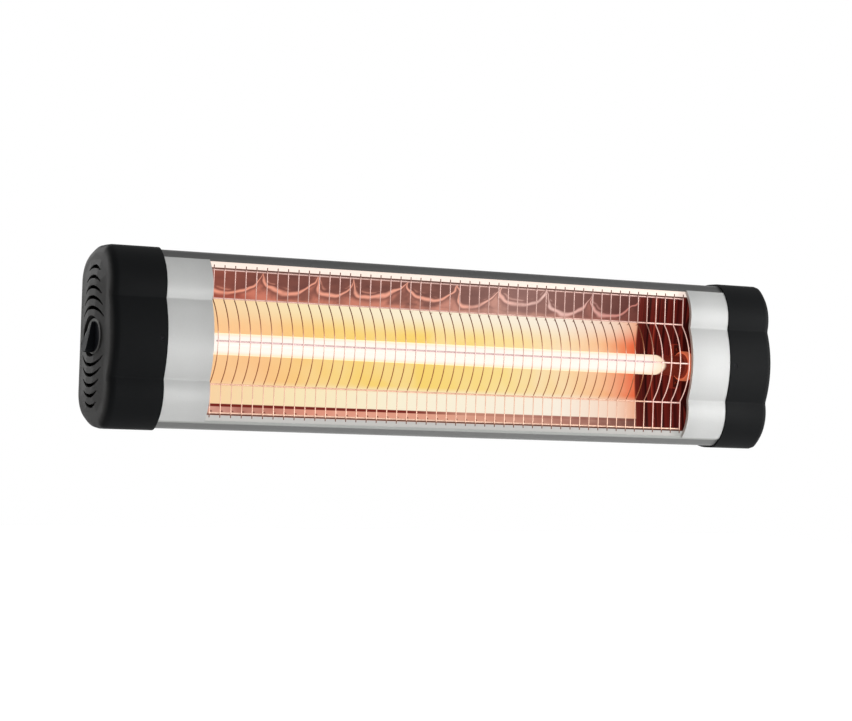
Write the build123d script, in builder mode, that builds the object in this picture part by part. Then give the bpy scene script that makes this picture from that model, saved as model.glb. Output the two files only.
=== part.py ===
from build123d import *
import math
import os

# Wall-mounted infrared heater, in millimetres. The wall is the plane Y = 0 and the heater
# faces -Y. X runs along the heater, with the switch end at -X. Z = 0 is the height of the
# tilt pivots, which is also the middle of the heater's height.

os.makedirs("parts", exist_ok=True)

# Overall size of the body, caps included
half_length = 419.5
half_height = 95.5
body_depth = 96.0
wall_gap = 62.0
front_y = -(wall_gap + body_depth)

# Section of the body: three lobes in front, a rounded top edge, a large rounded back edge
crease_z = 42.0
crease_round = 3.0
lobe_radius = 48.0
lobe_z = 54.0
lobe_front = 6.5
front_corner_radius = 14.0
back_corner_depth = 50.0
back_corner_height = 38.0
back_corner_turn = 35.0

# Stations along the length
window_x = 302.5
seam_x = 355.0
seam_gap = 0.5
housing_overlap = 8.0
bulkhead_x = 320.0

# Sheet and moulding thicknesses
cap_wall = 2.2
band_step = 0.9
band_sheet = 1.2
housing_inset = 2.3
housing_sheet = 1.5
steel_sheet = 1.2
reflector_sheet = 0.8

# End caps
cap_edge_radius = 9.0
edge_steps = 3
crown_drop = 3.4
crown_depth = 62.0
crown_height = 160.0
crown_cut = 16.0
crown_slope = 22.0
pocket_depth = 70.0
pocket_height = 170.0
pocket_cut = 22.0
round_sides = 24
pocket_middle = 53.0
vent_cut = 14.0
vent_count = 5
vent_pitch = 10.7
vent_first_z = 31.7
vent_width_near = 55.0
vent_width_far = 30.0
vent_rise_near = 11.5
vent_rise_far = 6.3
vent_slot = 3.8

# Switch knob in its well on the left end
knob_depth = 52.0
well_radius = 21.5
well_depth = 9.0
knob_radius = 19.3
knob_lift = 0.6
knob_disc = 5.5
grip_height = 9.5
grip_width = 9.0
grip_angle = 45.0
shaft_radius = 3.0
running_gap = 0.05

# Heating window
window_z = 83.5
flange_depth = 24.0
flange_low_z = 77.5
fold_z = 46.0
trough_radius = 60.0
trough_depth = 66.0

# Guard grille
upright_count = 49
upright_pitch = 12.4
upright_radius = 0.75
upright_reach = 80.0
upright_plane = 18.0
upright_crown = 1.6
bend_z = 43.0
arc_steps = 5
rail_radius = 1.0
rail_heights = (75.0, 45.0, 0.0, -45.0, -75.0)

# Quartz tube and its holders
tube_depth = 40.0
tube_z = -2.0
tube_radius = 11.5
tube_wall = 1.5
tube_half_length = 314.0
ceramic_radius = 14.6
ceramic_start = 310.0
ceramic_end = 338.0
clip_radius = 17.2
clip_width = 7.0
strip_half_length = 288.0
strip_width = 8.0
strip_thickness = 0.9
strip_steps = 12

# Tilt bracket
pivot_y = -38.0
pivot_radius = 3.0
wall_ear_x = 144.5
wall_sheet = 2.5
washer_thickness = 1.0
washer_radius = 7.5
ear_gap = 0.1
heater_ear_sheet = 2.0
wall_plate_height = 60.0
wall_hole_radius = 3.25
wall_hole_x = 120.0
wall_hole_z = 18.0

# Screws and their holes
screw_play = 0.1
screw_sides = 8
hole_sides = 12
cap_screw_x = seam_x + 6.5
cap_screw_head = 2.6
cap_screw_radius = 1.4
recess_radius = 2.9
recess_depth = 1.2
head_sunk = 0.3
cap_screw_length = 4.0
cap_screw_room = 6.0
foot_screw_height = 2.0
foot_screw_length = 6.0
clip_screw_height = 1.8
clip_screw_length = 4.5
ear_screw_height = 2.4
ear_screw_length = 9.0
foot_screw_x = 327.5
foot_screw_z = 20.0
foot_screw_head = 3.6
foot_screw_radius = 2.0
foot_length = 14.0
foot_reach_z = 28.0
ear_screw_x = 170.0
ear_screw_z = 18.0
ear_screw_head = 3.8
ear_screw_radius = 2.0

# Bands beside the window, and the tongue under each cap
band_z = 85.0
band_return = 2.6
tongue_inset = 2.3
tongue_z = 14.0

# Seat and strap of the tube's ceramic ends
seat_depth = 55.5
seat_length = 12.0
seat_reach_z = 26.0
clip_x = 316.0
clip_screw_z = 20.0
clip_screw_radius = 1.5
clip_screw_head = 2.8
ceramic_shoulder = 326.0
ceramic_neck_radius = 9.0
strip_turn = 45.0
strip_pin_radius = 1.2
flange_top_z = 85.6
rail_end = 298.6
rail_hook = 3.5
flat_turn = 180 / screw_sides

# Switch, gland, terminals and wiring inside the left cap
bushing_radius = 5.0
bushing_proud = 1.8
switch_width = 27.0
switch_length = 20.0
shaft_depth = 10.0
nut_room = 9.5
vent_tip = 1.6
gland_x = -388.0
gland_z = -42.0
gland_radius = 8.0
gland_flange = 10.5
gland_flange_height = 4.0
gland_neck = 10.0
gland_bore = 4.3
gland_nut_radius = 11.0
block_x = -351.0
block_z = -37.0
block_width = 18.0
block_height = 36.0
block_depth = 14.0
terminal_pitch = 12.0
cutout_depth = 58.0
cutout_z = -62.0
blade_reach = 4.0
earth_depth = 70.0
earth_z = 50.0
earth_radius = 2.0
lead_radius = 1.5
lead_depth = 80.0
lead_z = -66.0

# Ears, bolts and clamping knobs
bolt_head = 5.8
bolt_head_height = 4.0
bolt_reach = 11.0
clamp_hub_height = 4.0
clamp_height = 10.0
clamp_bore = 11.5
clamp_lobe = 4.0
lobe_inset = 2.5
ear_nut = 4.0
ear_nut_height = 3.2
ear_foot = 36.0
ear_reach_z = 28.0
ear_round = 13.0
clamp_hub = 8.0
clamp_radius = 13.0
clamp_lobes = 5
corner_cut = 4.0


def at(depth, z):
    """Point of a YZ sketch, given by its depth behind the front of the middle lobe."""
    return (front_y + depth, z)


def body_section(inset=0.0):
    """Section of the heater's body, drawn in by inset all round, flat and ready to place."""
    lobe_centre = lobe_front + lobe_radius
    crease_depth = lobe_centre - math.sqrt(lobe_radius**2 - (lobe_z - crease_z) ** 2)
    reach = lobe_radius - front_corner_radius
    turn = math.asin((half_height - front_corner_radius - lobe_z) / reach)
    half_turn = (turn + math.pi / 2) / 2
    corner_centre = (lobe_centre - reach * math.cos(turn), half_height - front_corner_radius)
    bend = math.radians(back_corner_turn)
    spread = (back_corner_depth - back_corner_height) / (math.sin(bend) + math.cos(bend) - 1)
    small = back_corner_depth - spread * math.sin(bend)
    large = small + spread
    large_centre = (body_depth - back_corner_depth, half_height - large)
    small_centre = (body_depth - small, half_height - back_corner_height)

    def on_arc(centre, radius, angle):
        return (centre[0] + radius * math.sin(angle), centre[1] + radius * math.cos(angle))

    with BuildSketch() as section:
        with BuildLine():
            ThreePointArc(at(crease_depth, -crease_z), at(0, 0), at(crease_depth, crease_z))
            for up in (1, -1):
                lobe_end = (
                    lobe_centre - lobe_radius * math.cos(turn),
                    lobe_z + lobe_radius * math.sin(turn),
                )
                corner_mid = (
                    corner_centre[0] - front_corner_radius * math.cos(half_turn),
                    corner_centre[1] + front_corner_radius * math.sin(half_turn),
                )
                large_mid = on_arc(large_centre, large, bend / 2)
                large_end = on_arc(large_centre, large, bend)
                small_mid = on_arc(small_centre, small, (bend + math.pi / 2) / 2)
                ThreePointArc(
                    at(crease_depth, up * crease_z),
                    at(lobe_front, up * lobe_z),
                    at(lobe_end[0], up * lobe_end[1]),
                )
                ThreePointArc(
                    at(lobe_end[0], up * lobe_end[1]),
                    at(corner_mid[0], up * corner_mid[1]),
                    at(corner_centre[0], up * half_height),
                )
                Line(at(corner_centre[0], up * half_height), at(large_centre[0], up * half_height))
                ThreePointArc(
                    at(large_centre[0], up * half_height),
                    at(large_mid[0], up * large_mid[1]),
                    at(large_end[0], up * large_end[1]),
                )
                ThreePointArc(
                    at(large_end[0], up * large_end[1]),
                    at(small_mid[0], up * small_mid[1]),
                    at(body_depth, up * small_centre[1]),
                )
            Line(at(body_depth, small_centre[1]), at(body_depth, -small_centre[1]))
        make_face()
        creases = section.vertices().filter_by(lambda v: abs(abs(v.Y) - crease_z) < 0.01)
        fillet(creases, radius=crease_round)
        if inset:
            offset(amount=-inset)
    return section.sketch


def chord_section(inset):
    """The body's section in straight chords, two to each curve, for plates inside it."""
    with BuildSketch() as section:
        with BuildLine():
            for edge in body_section(inset).edges():
                Line(edge @ 0, edge @ 0.5)
                Line(edge @ 0.5, edge @ 1)
        make_face()
    return section.sketch


outline = body_section()
cap_hollow_outline = body_section(cap_wall)


def skin_strip(outer, inner, reach_z, far_depth):
    """Front strip of the body's skin between two insets, as tall as 2 * reach_z."""
    with BuildSketch() as strip:
        add(body_section(outer))
        add(body_section(inner), mode=Mode.SUBTRACT)
        with Locations(at(far_depth / 2 - 5, 0)):
            Rectangle(far_depth + 10, 2 * reach_z, mode=Mode.INTERSECT)
    return strip.sketch


round_start = half_length - crown_drop - cap_edge_radius
cap_rings = [(seam_x, outline), (round_start, outline)]
for step in range(1, edge_steps + 1):
    turn = math.pi / 2 * step / edge_steps
    rise = cap_edge_radius * math.sin(turn)
    cap_rings.append((round_start + rise, body_section(cap_edge_radius * (1 - math.cos(turn)))))


def low_crown(side, start, mode):
    """Shallow rise in the middle of a cap's end, outside or, a wall deeper, inside."""
    with BuildSketch(Plane.YZ.offset(side * start)) as base:
        with Locations(at(knob_depth, 0)):
            Rectangle(crown_depth, crown_height)
        chamfer(base.vertices(), length=crown_cut)
    taper = math.degrees(math.atan2(crown_slope, crown_drop))
    extrude(base.sketch, amount=side * crown_drop, taper=taper, mode=mode)


def end_cap(side):
    """Hollow end cap: a scalloped prism, rounded and slightly crowned, with a screw recess."""
    with BuildPart() as cap:
        for station, ring in cap_rings:
            with BuildSketch(Plane.YZ.offset(side * station)):
                add(ring)
        loft(ruled=True)
        low_crown(side, half_length - crown_drop, Mode.ADD)
        with BuildSketch(Plane.YZ.offset(side * seam_x)):
            add(cap_hollow_outline)
        extrude(amount=side * (round_start - seam_x), mode=Mode.SUBTRACT)
        with BuildSketch(Plane.YZ.offset(side * round_start)) as pocket:
            with Locations(at(pocket_middle, 0)):
                Rectangle(pocket_depth, pocket_height)
            chamfer(pocket.vertices(), length=pocket_cut)
        extrude(amount=side * (cap_edge_radius - cap_wall), mode=Mode.SUBTRACT)
        low_crown(side, half_length - crown_drop - cap_wall, Mode.SUBTRACT)
        with BuildSketch(Plane.XZ.offset(-front_y)):
            with Locations((side * cap_screw_x, 0)):
                RegularPolygon(recess_radius, hole_sides)
        extrude(amount=-recess_depth, mode=Mode.SUBTRACT)
        with BuildSketch(Plane.XZ.offset(-front_y)):
            with Locations((side * cap_screw_x, 0)):
                RegularPolygon(cap_screw_radius + screw_play, screw_sides)
        extrude(amount=-cap_screw_room, mode=Mode.SUBTRACT)
    return cap.part


left_cap_shell = end_cap(-1)
well_floor = -(half_length - well_depth)

with BuildPart() as left_cap:
    add(left_cap_shell)
    # Cup behind the knob, its floor carrying the switch
    with BuildSketch(Plane.YZ.offset(well_floor + cap_wall)):
        with Locations(at(knob_depth, 0)):
            Circle(well_radius + cap_wall)
    extrude(amount=-(well_depth + cap_wall - 1.0))
    with BuildSketch(Plane.YZ.offset(well_floor)):
        with Locations(at(knob_depth, 0)):
            Circle(well_radius)
    extrude(amount=-well_depth - 5, mode=Mode.SUBTRACT)
    with BuildSketch(Plane.YZ.offset(well_floor)):
        with Locations(at(knob_depth, 0)):
            RegularPolygon(bushing_radius + 0.1, 2 * screw_sides)
    extrude(amount=cap_wall + 1, mode=Mode.SUBTRACT)
    # Crescent air vents above and below the knob, larger towards it
    with BuildSketch(Plane.YZ.offset(-half_length - 1)):
        for row in range(vent_count):
            share = row / (vent_count - 1)
            crown = vent_first_z + row * vent_pitch
            half_width = (vent_width_near + share * (vent_width_far - vent_width_near)) / 2
            rise = vent_rise_near + share * (vent_rise_far - vent_rise_near)
            for up in (1, -1):
                with BuildLine():
                    outer = ThreePointArc(
                        at(knob_depth - half_width, up * (crown - rise)),
                        at(knob_depth, up * crown),
                        at(knob_depth + half_width, up * (crown - rise)),
                    )
                    inner = ThreePointArc(
                        at(knob_depth - half_width + vent_tip, up * (crown - rise - 0.4)),
                        at(knob_depth, up * (crown - vent_slot)),
                        at(knob_depth + half_width - vent_tip, up * (crown - rise - 0.4)),
                    )
                    Line(outer @ 0, inner @ 0)
                    Line(outer @ 1, inner @ 1)
                make_face()
    extrude(amount=vent_cut, mode=Mode.SUBTRACT)
    # Round hole in the back for the cable gland
    with BuildSketch(Plane.XZ.offset(wall_gap)):
        with Locations((gland_x, gland_z)):
            RegularPolygon(gland_radius + screw_play, hole_sides)
    extrude(amount=cap_wall + 1, mode=Mode.SUBTRACT)

right_cap_shell = end_cap(1)
with BuildPart() as right_cap:
    add(right_cap_shell)


def cap_screw(side):
    """Pan-head screw that holds an end cap to the tongue of the band beside it."""
    with BuildPart() as screw:
        with BuildSketch(Plane.XZ.offset(-front_y - recess_depth)):
            with Locations((side * cap_screw_x, 0)):
                RegularPolygon(cap_screw_head, hole_sides)
        extrude(amount=recess_depth - head_sunk)
        with BuildSketch(Plane.XZ.offset(-front_y - recess_depth)):
            with Locations((side * cap_screw_x, 0)):
                RegularPolygon(cap_screw_radius, screw_sides)
        extrude(amount=-cap_screw_length)
    return screw.part


cap_screw_pair = [cap_screw(side) for side in (-1, 1)]
with BuildPart() as cap_screws:
    for screw in cap_screw_pair:
        add(screw)


# Housing: one C-shaped section, open in front between the two long lips
housing_end = seam_x + housing_overlap
housing_back = wall_gap + housing_inset
with BuildPart() as housing:
    with BuildSketch(Plane.YZ.offset(-housing_end)):
        add(body_section(housing_inset))
        add(body_section(housing_inset + housing_sheet), mode=Mode.SUBTRACT)
        with Locations(at(22, 0)):
            Rectangle(60, 2 * window_z, mode=Mode.SUBTRACT)
    extrude(amount=2 * housing_end)
    with BuildSketch(Plane.XZ.offset(housing_back - 1)):
        for side in (-1, 1):
            with Locations((side * ear_screw_x, 0)):
                with GridLocations(0, 2 * ear_screw_z, 1, 2):
                    RegularPolygon(ear_screw_radius + screw_play, screw_sides)
            with Locations((side * foot_screw_x, 0)):
                with GridLocations(0, 2 * foot_screw_z, 1, 2):
                    RegularPolygon(foot_screw_radius + screw_play, screw_sides)
    extrude(amount=housing_sheet + 2, mode=Mode.SUBTRACT)


def band(side):
    """Silver cover between an end cap and the window: a scalloped skin with a turned edge."""
    with BuildPart() as cover:
        with BuildSketch(Plane.YZ.offset(side * window_x)):
            add(skin_strip(band_step, band_step + band_sheet, band_z, 22))
        extrude(amount=side * (seam_x - seam_gap - window_x))
        with BuildSketch(Plane.YZ.offset(side * window_x)):
            add(skin_strip(band_step + 0.4, band_step + band_sheet + band_return, window_z - 0.4, 24))
        extrude(amount=side * band_sheet)
        # Patch and tongue that reach under the cap for its screw
        with BuildSketch(Plane.YZ.offset(side * (seam_x - seam_gap))):
            add(skin_strip(band_step + 0.4, tongue_inset + band_sheet, tongue_z, 10))
        extrude(amount=-side * 12)
        with BuildSketch(Plane.YZ.offset(side * (seam_x - seam_gap - 1))):
            add(skin_strip(tongue_inset, tongue_inset + band_sheet, tongue_z, 10))
        extrude(amount=side * (2 * (cap_screw_x - seam_x) + 1))
        with BuildSketch(Plane.XZ.offset(-front_y)):
            with Locations((side * cap_screw_x, 0)):
                RegularPolygon(cap_screw_radius + screw_play, screw_sides)
        extrude(amount=-8, mode=Mode.SUBTRACT)
    return cover.part


left_band_shell = band(-1)
right_band_shell = band(1)
with BuildPart() as left_band:
    add(left_band_shell)
with BuildPart() as right_band:
    add(right_band_shell)


# Reflector: a polished trough with two slanting wings and a flat flange behind each lip
fold_depth = trough_depth - trough_radius + math.sqrt(trough_radius**2 - fold_z**2)
with BuildPart() as reflector:
    with BuildSketch(Plane.YZ.offset(-bulkhead_x)):
        with BuildLine():
            Line(at(flange_depth, flange_top_z), at(flange_depth, flange_low_z))
            Line(at(flange_depth, flange_low_z), at(fold_depth, fold_z))
            ThreePointArc(at(fold_depth, fold_z), at(trough_depth, 0), at(fold_depth, -fold_z))
            Line(at(fold_depth, -fold_z), at(flange_depth, -flange_low_z))
            Line(at(flange_depth, -flange_low_z), at(flange_depth, -flange_top_z))
            offset(amount=reflector_sheet, side=Side.LEFT)
        make_face()
    extrude(amount=2 * bulkhead_x)
    with BuildSketch(Plane.XZ.offset(-front_y - flange_depth + 2)):
        with GridLocations(2 * rail_end, 2 * rail_heights[0], 2, 2):
            RegularPolygon(rail_radius + 0.15, screw_sides, False, flat_turn)
    extrude(amount=-10, mode=Mode.SUBTRACT)


def end_plate(side):
    """Steel bulkhead that closes the trough, with a foot on the housing and a tube seat."""
    with BuildPart() as plate:
        with BuildSketch(Plane.YZ.offset(side * bulkhead_x)):
            add(chord_section(housing_inset + housing_sheet + 0.1))
            with Locations(at(tube_depth, tube_z)):
                RegularPolygon(ceramic_radius + 0.6, 2 * screw_sides, False, mode=Mode.SUBTRACT)
            with Locations(at(lead_depth, lead_z)):
                RegularPolygon(2 * lead_radius, screw_sides, mode=Mode.SUBTRACT)
        extrude(amount=side * steel_sheet)
        with BuildSketch(Plane.XZ.offset(housing_back + housing_sheet)):
            with Locations((side * (bulkhead_x + foot_length / 2), 0)):
                Rectangle(foot_length, 2 * foot_reach_z)
            with Locations((side * foot_screw_x, 0)):
                with GridLocations(0, 2 * foot_screw_z, 1, 2):
                    RegularPolygon(foot_screw_radius + screw_play, screw_sides, mode=Mode.SUBTRACT)
        extrude(amount=steel_sheet)
        with BuildSketch(Plane.XZ.offset(-front_y - seat_depth)):
            with Locations((side * (bulkhead_x - seat_length / 2 + 0.5), tube_z)):
                Rectangle(seat_length + 1, 2 * seat_reach_z)
            with Locations((side * clip_x, tube_z)):
                with GridLocations(0, 2 * clip_screw_z, 1, 2):
                    RegularPolygon(clip_screw_radius + screw_play, screw_sides, mode=Mode.SUBTRACT)
        extrude(amount=-steel_sheet)
    return plate.part


left_plate_shape = end_plate(-1)
right_plate_shape = end_plate(1)
with BuildPart() as left_end_plate:
    add(left_plate_shape)
    with BuildSketch(Plane.YZ.offset(-bulkhead_x + 1)):
        with Locations(at(earth_depth, earth_z)):
            RegularPolygon(earth_radius + screw_play, screw_sides)
    extrude(amount=-4, mode=Mode.SUBTRACT)
with BuildPart() as right_end_plate:
    add(right_plate_shape)


# Guard grille: bent uprights in front, welded to five long rails behind them
bow = upright_plane - upright_crown
arc_radius = (bow**2 + bend_z**2) / (2 * bow)
arc_reach = math.asin(bend_z / arc_radius)
level = math.cos(arc_reach / arc_steps)
wire_points = [at(upright_plane - upright_radius, -upright_reach)]
for step in range(arc_steps + 1):
    turn = arc_reach * (2 * step / arc_steps - 1)
    depth = upright_crown + bow * (level - math.cos(turn)) / (level - math.cos(arc_reach))
    wire_points.append(at(depth - upright_radius, arc_radius * math.sin(turn)))
wire_points.append(at(upright_plane - upright_radius, upright_reach))
with BuildSketch() as upright_side:
    with BuildLine():
        Polyline(*wire_points)
        offset(amount=2 * upright_radius, side=Side.RIGHT, kind=Kind.INTERSECTION)
    make_face()

with BuildPart() as grille_uprights:
    first_upright = -upright_pitch * (upright_count - 1) / 2
    for index in range(upright_count):
        with BuildSketch(Plane.YZ.offset(first_upright + index * upright_pitch - upright_radius)):
            add(upright_side.sketch)
        extrude(amount=2 * upright_radius)


def rail_plane(z):
    """Depth of a rail's centre line: just behind the uprights at that height."""
    crown = abs(z) < bend_z
    return (upright_crown if crown else upright_plane) + upright_radius + rail_radius


def rail(z):
    """One long rail; the outermost two have ends turned back into the reflector."""
    y = front_y + rail_plane(z)
    corners = [(-rail_end, y, z), (rail_end, y, z)]
    if abs(z) == rail_heights[0]:
        back = front_y + flange_depth + rail_hook
        corners = [(-rail_end, back, z), *corners, (rail_end, back, z)]
    with BuildPart() as wire:
        with BuildLine() as path:
            Polyline(*corners)
        with BuildSketch(Plane(origin=path.line @ 0, z_dir=path.line % 0)):
            RegularPolygon(rail_radius, screw_sides, False, flat_turn)
        sweep(path=path.line, transition=Transition.RIGHT)
    return wire.part


rails = [rail(z) for z in rail_heights]
with BuildPart() as grille_rails:
    for wire in rails:
        add(wire)


# Quartz tube with the twisted carbon strip that glows inside it
with BuildPart() as quartz_tube:
    with BuildSketch(Plane.YZ.offset(-tube_half_length)):
        with Locations(at(tube_depth, tube_z)):
            Circle(tube_radius)
            Circle(tube_radius - tube_wall, mode=Mode.SUBTRACT)
    extrude(amount=2 * tube_half_length)

with BuildPart() as heating_strip:
    for step in range(strip_steps + 1):
        station = -strip_half_length + step * 2 * strip_half_length / strip_steps
        with BuildSketch(Plane.YZ.offset(station)):
            with Locations(at(tube_depth, tube_z)):
                Rectangle(strip_width, strip_thickness, rotation=step * strip_turn)
    loft(ruled=True)
    for side in (-1, 1):
        with BuildSketch(Plane.YZ.offset(side * (strip_half_length - 4))):
            with Locations(at(tube_depth, tube_z)):
                RegularPolygon(strip_pin_radius, screw_sides)
        extrude(amount=side * (ceramic_start + 6 - strip_half_length + 4))


def ceramic(side):
    """Ceramic end of the tube: a collar round the quartz and a neck for the lead."""
    with BuildPart() as collar:
        with BuildSketch(Plane.YZ.offset(side * ceramic_start)):
            with Locations(at(tube_depth, tube_z)):
                RegularPolygon(ceramic_radius, round_sides)
        extrude(amount=side * (ceramic_shoulder - ceramic_start))
        with BuildSketch(Plane.YZ.offset(side * ceramic_shoulder)):
            with Locations(at(tube_depth, tube_z)):
                RegularPolygon(ceramic_neck_radius, hole_sides)
        extrude(amount=side * (ceramic_end - ceramic_shoulder))
        with BuildSketch(Plane.YZ.offset(side * ceramic_start)):
            with Locations(at(tube_depth, tube_z)):
                RegularPolygon(tube_radius + 0.05, 2 * screw_sides, False)
        extrude(amount=side * (tube_half_length - ceramic_start), mode=Mode.SUBTRACT)
        with BuildSketch(Plane.YZ.offset(side * ceramic_start)):
            with Locations(at(tube_depth, tube_z)):
                RegularPolygon(strip_pin_radius + screw_play, screw_sides)
        extrude(amount=side * 6, mode=Mode.SUBTRACT)
    return collar.part


left_ceramic_shape = ceramic(-1)
right_ceramic_shape = ceramic(1)
with BuildPart() as left_ceramic:
    add(left_ceramic_shape)
with BuildPart() as right_ceramic:
    add(right_ceramic_shape)


def tube_clip(side):
    """Saddle strap that holds the ceramic on its seat, with a screwed foot each side."""
    riser = clip_radius - 4.8
    with BuildPart() as strap:
        with BuildSketch(Plane.YZ.offset(side * (clip_x - clip_width / 2))):
            with Locations(at(tube_depth, tube_z)):
                RegularPolygon(clip_radius, round_sides)
                RegularPolygon(ceramic_radius + 0.05, round_sides, mode=Mode.SUBTRACT)
            with Locations(at(tube_depth + 20, tube_z)):
                Rectangle(17, 2 * clip_radius, mode=Mode.SUBTRACT)
            for up in (1, -1):
                with Locations(at(seat_depth - 2.2, tube_z + up * (riser - 1.3))):
                    Rectangle(4.4, 2.6)
                with Locations(at(seat_depth - 0.8, tube_z + up * (riser + 5.5))):
                    Rectangle(1.6, 14)
        extrude(amount=side * clip_width)
        with BuildSketch(Plane.XZ.offset(-front_y - seat_depth)):
            with Locations((side * clip_x, tube_z)):
                with GridLocations(0, 2 * clip_screw_z, 1, 2):
                    RegularPolygon(clip_screw_radius + screw_play, screw_sides)
        extrude(amount=4, mode=Mode.SUBTRACT)
    return strap.part


left_clip_shape = tube_clip(-1)
right_clip_shape = tube_clip(1)
with BuildPart() as left_tube_clip:
    add(left_clip_shape)
with BuildPart() as right_tube_clip:
    add(right_clip_shape)

with BuildPart() as clip_screws:
    for side in (-1, 1):
        with BuildSketch(Plane.XZ.offset(-front_y - seat_depth + 1.6)):
            with Locations((side * clip_x, tube_z)):
                with GridLocations(0, 2 * clip_screw_z, 1, 2):
                    RegularPolygon(clip_screw_head, screw_sides)
        extrude(amount=clip_screw_height)
        with BuildSketch(Plane.XZ.offset(-front_y - seat_depth + 1.6)):
            with Locations((side * clip_x, tube_z)):
                with GridLocations(0, 2 * clip_screw_z, 1, 2):
                    RegularPolygon(clip_screw_radius, screw_sides)
        extrude(amount=-clip_screw_length)

with BuildPart() as end_plate_screws:
    for side in (-1, 1):
        with BuildSketch(Plane.XZ.offset(housing_back)):
            with Locations((side * foot_screw_x, 0)):
                with GridLocations(0, 2 * foot_screw_z, 1, 2):
                    RegularPolygon(foot_screw_head, screw_sides)
        extrude(amount=-foot_screw_height)
        with BuildSketch(Plane.XZ.offset(housing_back)):
            with Locations((side * foot_screw_x, 0)):
                with GridLocations(0, 2 * foot_screw_z, 1, 2):
                    RegularPolygon(foot_screw_radius, screw_sides)
        extrude(amount=foot_screw_length)


# Rotary switch behind the well, its nut, its shaft and the knob
switch_face = well_floor + cap_wall
with BuildPart() as rotary_switch:
    with BuildSketch(Plane.YZ.offset(switch_face)) as switch_body:
        with Locations(at(knob_depth, 0)):
            Rectangle(switch_width, switch_width)
        chamfer(switch_body.vertices(), length=3)
    extrude(amount=switch_length)
    with BuildSketch(Plane.YZ.offset(switch_face)):
        with Locations(at(knob_depth, 0)):
            RegularPolygon(bushing_radius, 2 * screw_sides)
    extrude(amount=-(cap_wall + bushing_proud))
    with BuildSketch(Plane.YZ.offset(well_floor - bushing_proud)):
        with Locations(at(knob_depth, 0)):
            Circle(shaft_radius + running_gap)
    extrude(amount=cap_wall + bushing_proud + shaft_depth, mode=Mode.SUBTRACT)

with BuildPart() as switch_nut:
    with BuildSketch(Plane.YZ.offset(well_floor)):
        with Locations(at(knob_depth, 0)):
            RegularPolygon(8, 6)
            RegularPolygon(bushing_radius + 0.05, hole_sides, False, mode=Mode.SUBTRACT)
    extrude(amount=-1.6)

shaft_start = switch_face + shaft_depth - 0.3
knob_base = well_floor - knob_lift
knob_top = knob_base - knob_disc
with BuildPart() as switch_shaft:
    with BuildSketch(Plane.YZ.offset(shaft_start)):
        with Locations(at(knob_depth, 0)):
            Circle(shaft_radius)
    extrude(amount=knob_top - 4 - shaft_start)

with BuildPart() as switch_knob:
    with BuildSketch(Plane.YZ.offset(knob_base)):
        with Locations(at(knob_depth, 0)):
            RegularPolygon(knob_radius, 3 * hole_sides)
    extrude(amount=-knob_disc)
    rim = switch_knob.faces().sort_by(Axis.X)[0].edges()
    chamfer(rim, length=1.2)
    with BuildSketch(Plane.YZ.offset(knob_top + 1)):
        with Locations(Location((front_y + knob_depth, 0), grip_angle)):
            SlotOverall(2 * knob_radius - 1, grip_width)
    extrude(amount=-grip_height - 1, taper=5)
    crown_edges = switch_knob.faces().sort_by(Axis.X)[0].edges()
    chamfer(crown_edges, length=1.2)
    with BuildSketch(Plane.YZ.offset(knob_base)):
        with Locations(at(knob_depth, 0)):
            RegularPolygon(nut_room, hole_sides, False)
    extrude(amount=-3.4, mode=Mode.SUBTRACT)
    with BuildSketch(Plane.YZ.offset(knob_base)):
        with Locations(at(knob_depth, 0)):
            RegularPolygon(shaft_radius + 0.02, hole_sides, False)
    extrude(amount=-(knob_disc + 4.2), mode=Mode.SUBTRACT)


# Cable gland in the back of the left cap, with its nut inside
with BuildPart() as cable_gland:
    with BuildSketch(Plane.XZ.offset(wall_gap)):
        with Locations((gland_x, gland_z)):
            RegularPolygon(gland_flange, 6)
    extrude(amount=-gland_flange_height)
    with BuildSketch(Plane.XZ.offset(wall_gap)):
        with Locations((gland_x, gland_z)):
            RegularPolygon(gland_radius, hole_sides)
    extrude(amount=gland_neck)
    with BuildSketch(Plane.XZ.offset(wall_gap - gland_flange_height)):
        with Locations((gland_x, gland_z)):
            Circle(gland_bore)
    extrude(amount=gland_neck + gland_flange_height, mode=Mode.SUBTRACT)

with BuildPart() as gland_nut:
    with BuildSketch(Plane.XZ.offset(wall_gap + cap_wall)):
        with Locations((gland_x, gland_z)):
            RegularPolygon(gland_nut_radius, 6)
            RegularPolygon(gland_radius + screw_play, hole_sides, mode=Mode.SUBTRACT)
    extrude(amount=4)


# Terminal block on the housing's back, inside the left cap
block_back = housing_back + housing_sheet
with BuildPart() as terminal_block:
    with BuildSketch(Plane.XZ.offset(block_back)) as block:
        with Locations((block_x, block_z)):
            Rectangle(block_width, block_height)
        chamfer(block.vertices(), length=2)
    extrude(amount=block_depth)
    with BuildSketch(Plane.XZ.offset(block_back + block_depth)):
        with Locations((block_x - 4.5, block_z)):
            with GridLocations(0, terminal_pitch, 1, 3):
                RegularPolygon(2.2, screw_sides)
    extrude(amount=-5, mode=Mode.SUBTRACT)

with BuildPart() as terminal_screws:
    with BuildSketch(Plane.XZ.offset(block_back + block_depth - 5)):
        with Locations((block_x - 4.5, block_z)):
            with GridLocations(0, terminal_pitch, 1, 3):
                RegularPolygon(2.0, screw_sides)
    extrude(amount=3)

# Thermal cut-out clipped to the left end plate, with two blade terminals
plate_face = -(bulkhead_x + steel_sheet)
with BuildPart() as thermal_cutout:
    with BuildSketch(Plane.YZ.offset(plate_face)):
        with Locations(at(cutout_depth, cutout_z)):
            RegularPolygon(8, 2 * screw_sides)
    extrude(amount=-6)
    with BuildSketch(Plane.YZ.offset(plate_face - 6)):
        with Locations(at(cutout_depth, cutout_z)):
            with GridLocations(2 * blade_reach, 0, 2, 1):
                Rectangle(0.8, 5)
    extrude(amount=-6)

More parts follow.
